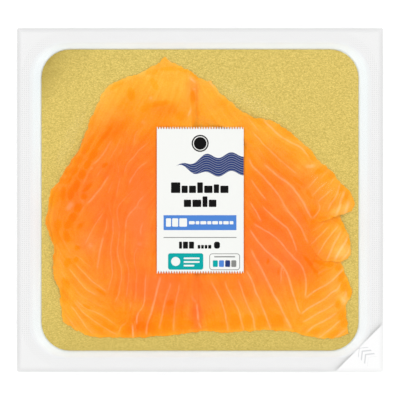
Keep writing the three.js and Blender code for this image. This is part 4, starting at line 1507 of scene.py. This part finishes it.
# The lamps stand in a ring round the pack, and point at its middle
LAMP_COUNT = 4
LAMP_RING = 0.9
LAMP_HEIGHT = 0.72
LAMP_WIDTH = 0.7
# Height of the rim, which the camera is set over, and the camera's sensor, both in mm
RIM_HEIGHT = 5
SENSOR = 36


def pale_floor(settings):
    """White sweep of painted board, matt with a very faint mottle."""
    material, add = new_material("Matt white board")
    place = add("ShaderNodeTexCoord").outputs["Object"]
    mottle = add("ShaderNodeTexNoise", {"Vector": place, "Scale": 3.0, "Detail": 2.0})
    dimmer = opaque([channel * 0.985 for channel in settings.floor])
    tint = add(
        "ShaderNodeMix",
        {0: mottle.outputs["Fac"], 6: opaque(settings.floor), 7: dimmer},
        data_type="RGBA",
    )
    surface = add(
        "ShaderNodeBsdfPrincipled",
        {"Base Color": tint.outputs[2], "Roughness": 0.9, "Specular IOR Level": 0.1},
    )
    add("ShaderNodeOutputMaterial", {0: surface.outputs[0]})
    return material


class MakeStage(bpy.types.Operator):
    """Adds the floor, four soft lamps, an even sky and the camera straight above"""

    bl_idname = "salmon_pack.make_stage"
    bl_label = "Stage"

    def execute(self, context):
        settings = context.scene.salmon_stage
        bpy.ops.object.select_all(action="DESELECT")
        bpy.ops.mesh.primitive_plane_add(size=FLOOR_WIDTH, location=(0, 0, 0))
        floor = bpy.context.object
        floor.name = "floor"
        floor.data.materials.append(pale_floor(settings))

        for index in range(LAMP_COUNT):
            angle = 2 * math.pi * (index + 0.5) / LAMP_COUNT
            spot = Vector((LAMP_RING * math.cos(angle), LAMP_RING * math.sin(angle), LAMP_HEIGHT))
            bpy.ops.object.light_add(type="AREA", location=spot)
            lamp = bpy.context.object
            lamp.data.shape = "SQUARE"
            lamp.data.size = LAMP_WIDTH
            lamp.data.energy = settings.lamp_power
            lamp.rotation_euler = (-spot).to_track_quat("-Z", "Y").to_euler()

        world = bpy.data.worlds.new("Even sky")
        world.use_nodes = True
        world.node_tree.nodes.clear()
        add = partial(add_node, world.node_tree)
        part = add("ShaderNodeSeparateXYZ", {0: add("ShaderNodeTexCoord").outputs["Generated"]})
        share = {0: part.outputs[2], 1: 0.25, 2: 0.75, 3: settings.horizon, 4: settings.sky}
        strength = add("ShaderNodeMapRange", share, interpolation_type="SMOOTHSTEP").outputs[0]
        sky = add("ShaderNodeBackground", {"Color": (1, 1, 1, 1), "Strength": strength})
        add("ShaderNodeOutputWorld", {0: sky.outputs[0]})
        context.scene.world = world

        over = CAD_BOX[0].z + RIM_HEIGHT * MM + settings.camera_height
        bpy.ops.object.camera_add(location=(0, 0, over), rotation=(0, 0, 0))
        camera = bpy.context.object
        camera.data.sensor_width = SENSOR
        camera.data.lens = SENSOR * settings.camera_height / settings.view_width
        camera.data.clip_end = 10
        context.scene.camera = camera
        context.scene.view_settings.view_transform = "Standard"
        return {"FINISHED"}


# The add-on


class SalmonPanel(bpy.types.Panel):
    bl_idname = "VIEW3D_PT_salmon_pack"
    bl_label = "Salmon pack"
    bl_space_type = "VIEW_3D"
    bl_region_type = "UI"
    bl_category = "Salmon pack"

    def draw(self, context):
        for operator in OPERATORS:
            self.layout.operator(operator.bl_idname)


SETTINGS = {
    "salmon_web": WebSettings,
    "salmon_card": CardSettings,
    "salmon_flesh": SalmonSettings,
    "salmon_film": FilmSettings,
    "salmon_label": LabelSettings,
    "salmon_tab": TabSettings,
    "salmon_stage": StageSettings,
}
OPERATORS = (MakeStage, MakeWeb, FinishCard, MakeSalmon, MakeFilm, MakeLabel, MakeTab)


def register():
    for shown in (*SETTINGS.values(), *OPERATORS, SalmonPanel):
        bpy.utils.register_class(shown)
    for name, group in SETTINGS.items():
        setattr(bpy.types.Scene, name, PointerProperty(type=group))


def unregister():
    for name in SETTINGS:
        delattr(bpy.types.Scene, name)
    for shown in (SalmonPanel, *reversed(OPERATORS), *SETTINGS.values()):
        bpy.utils.unregister_class(shown)


def main():
    register()
    bpy.ops.salmon_pack.make_stage()
    bpy.ops.salmon_pack.make_web()
    bpy.ops.salmon_pack.finish_card()
    bpy.ops.salmon_pack.make_salmon()
    bpy.ops.salmon_pack.make_film()
    bpy.ops.salmon_pack.make_label()
    bpy.ops.salmon_pack.make_tab()


if __name__ == "__main__":
    main()
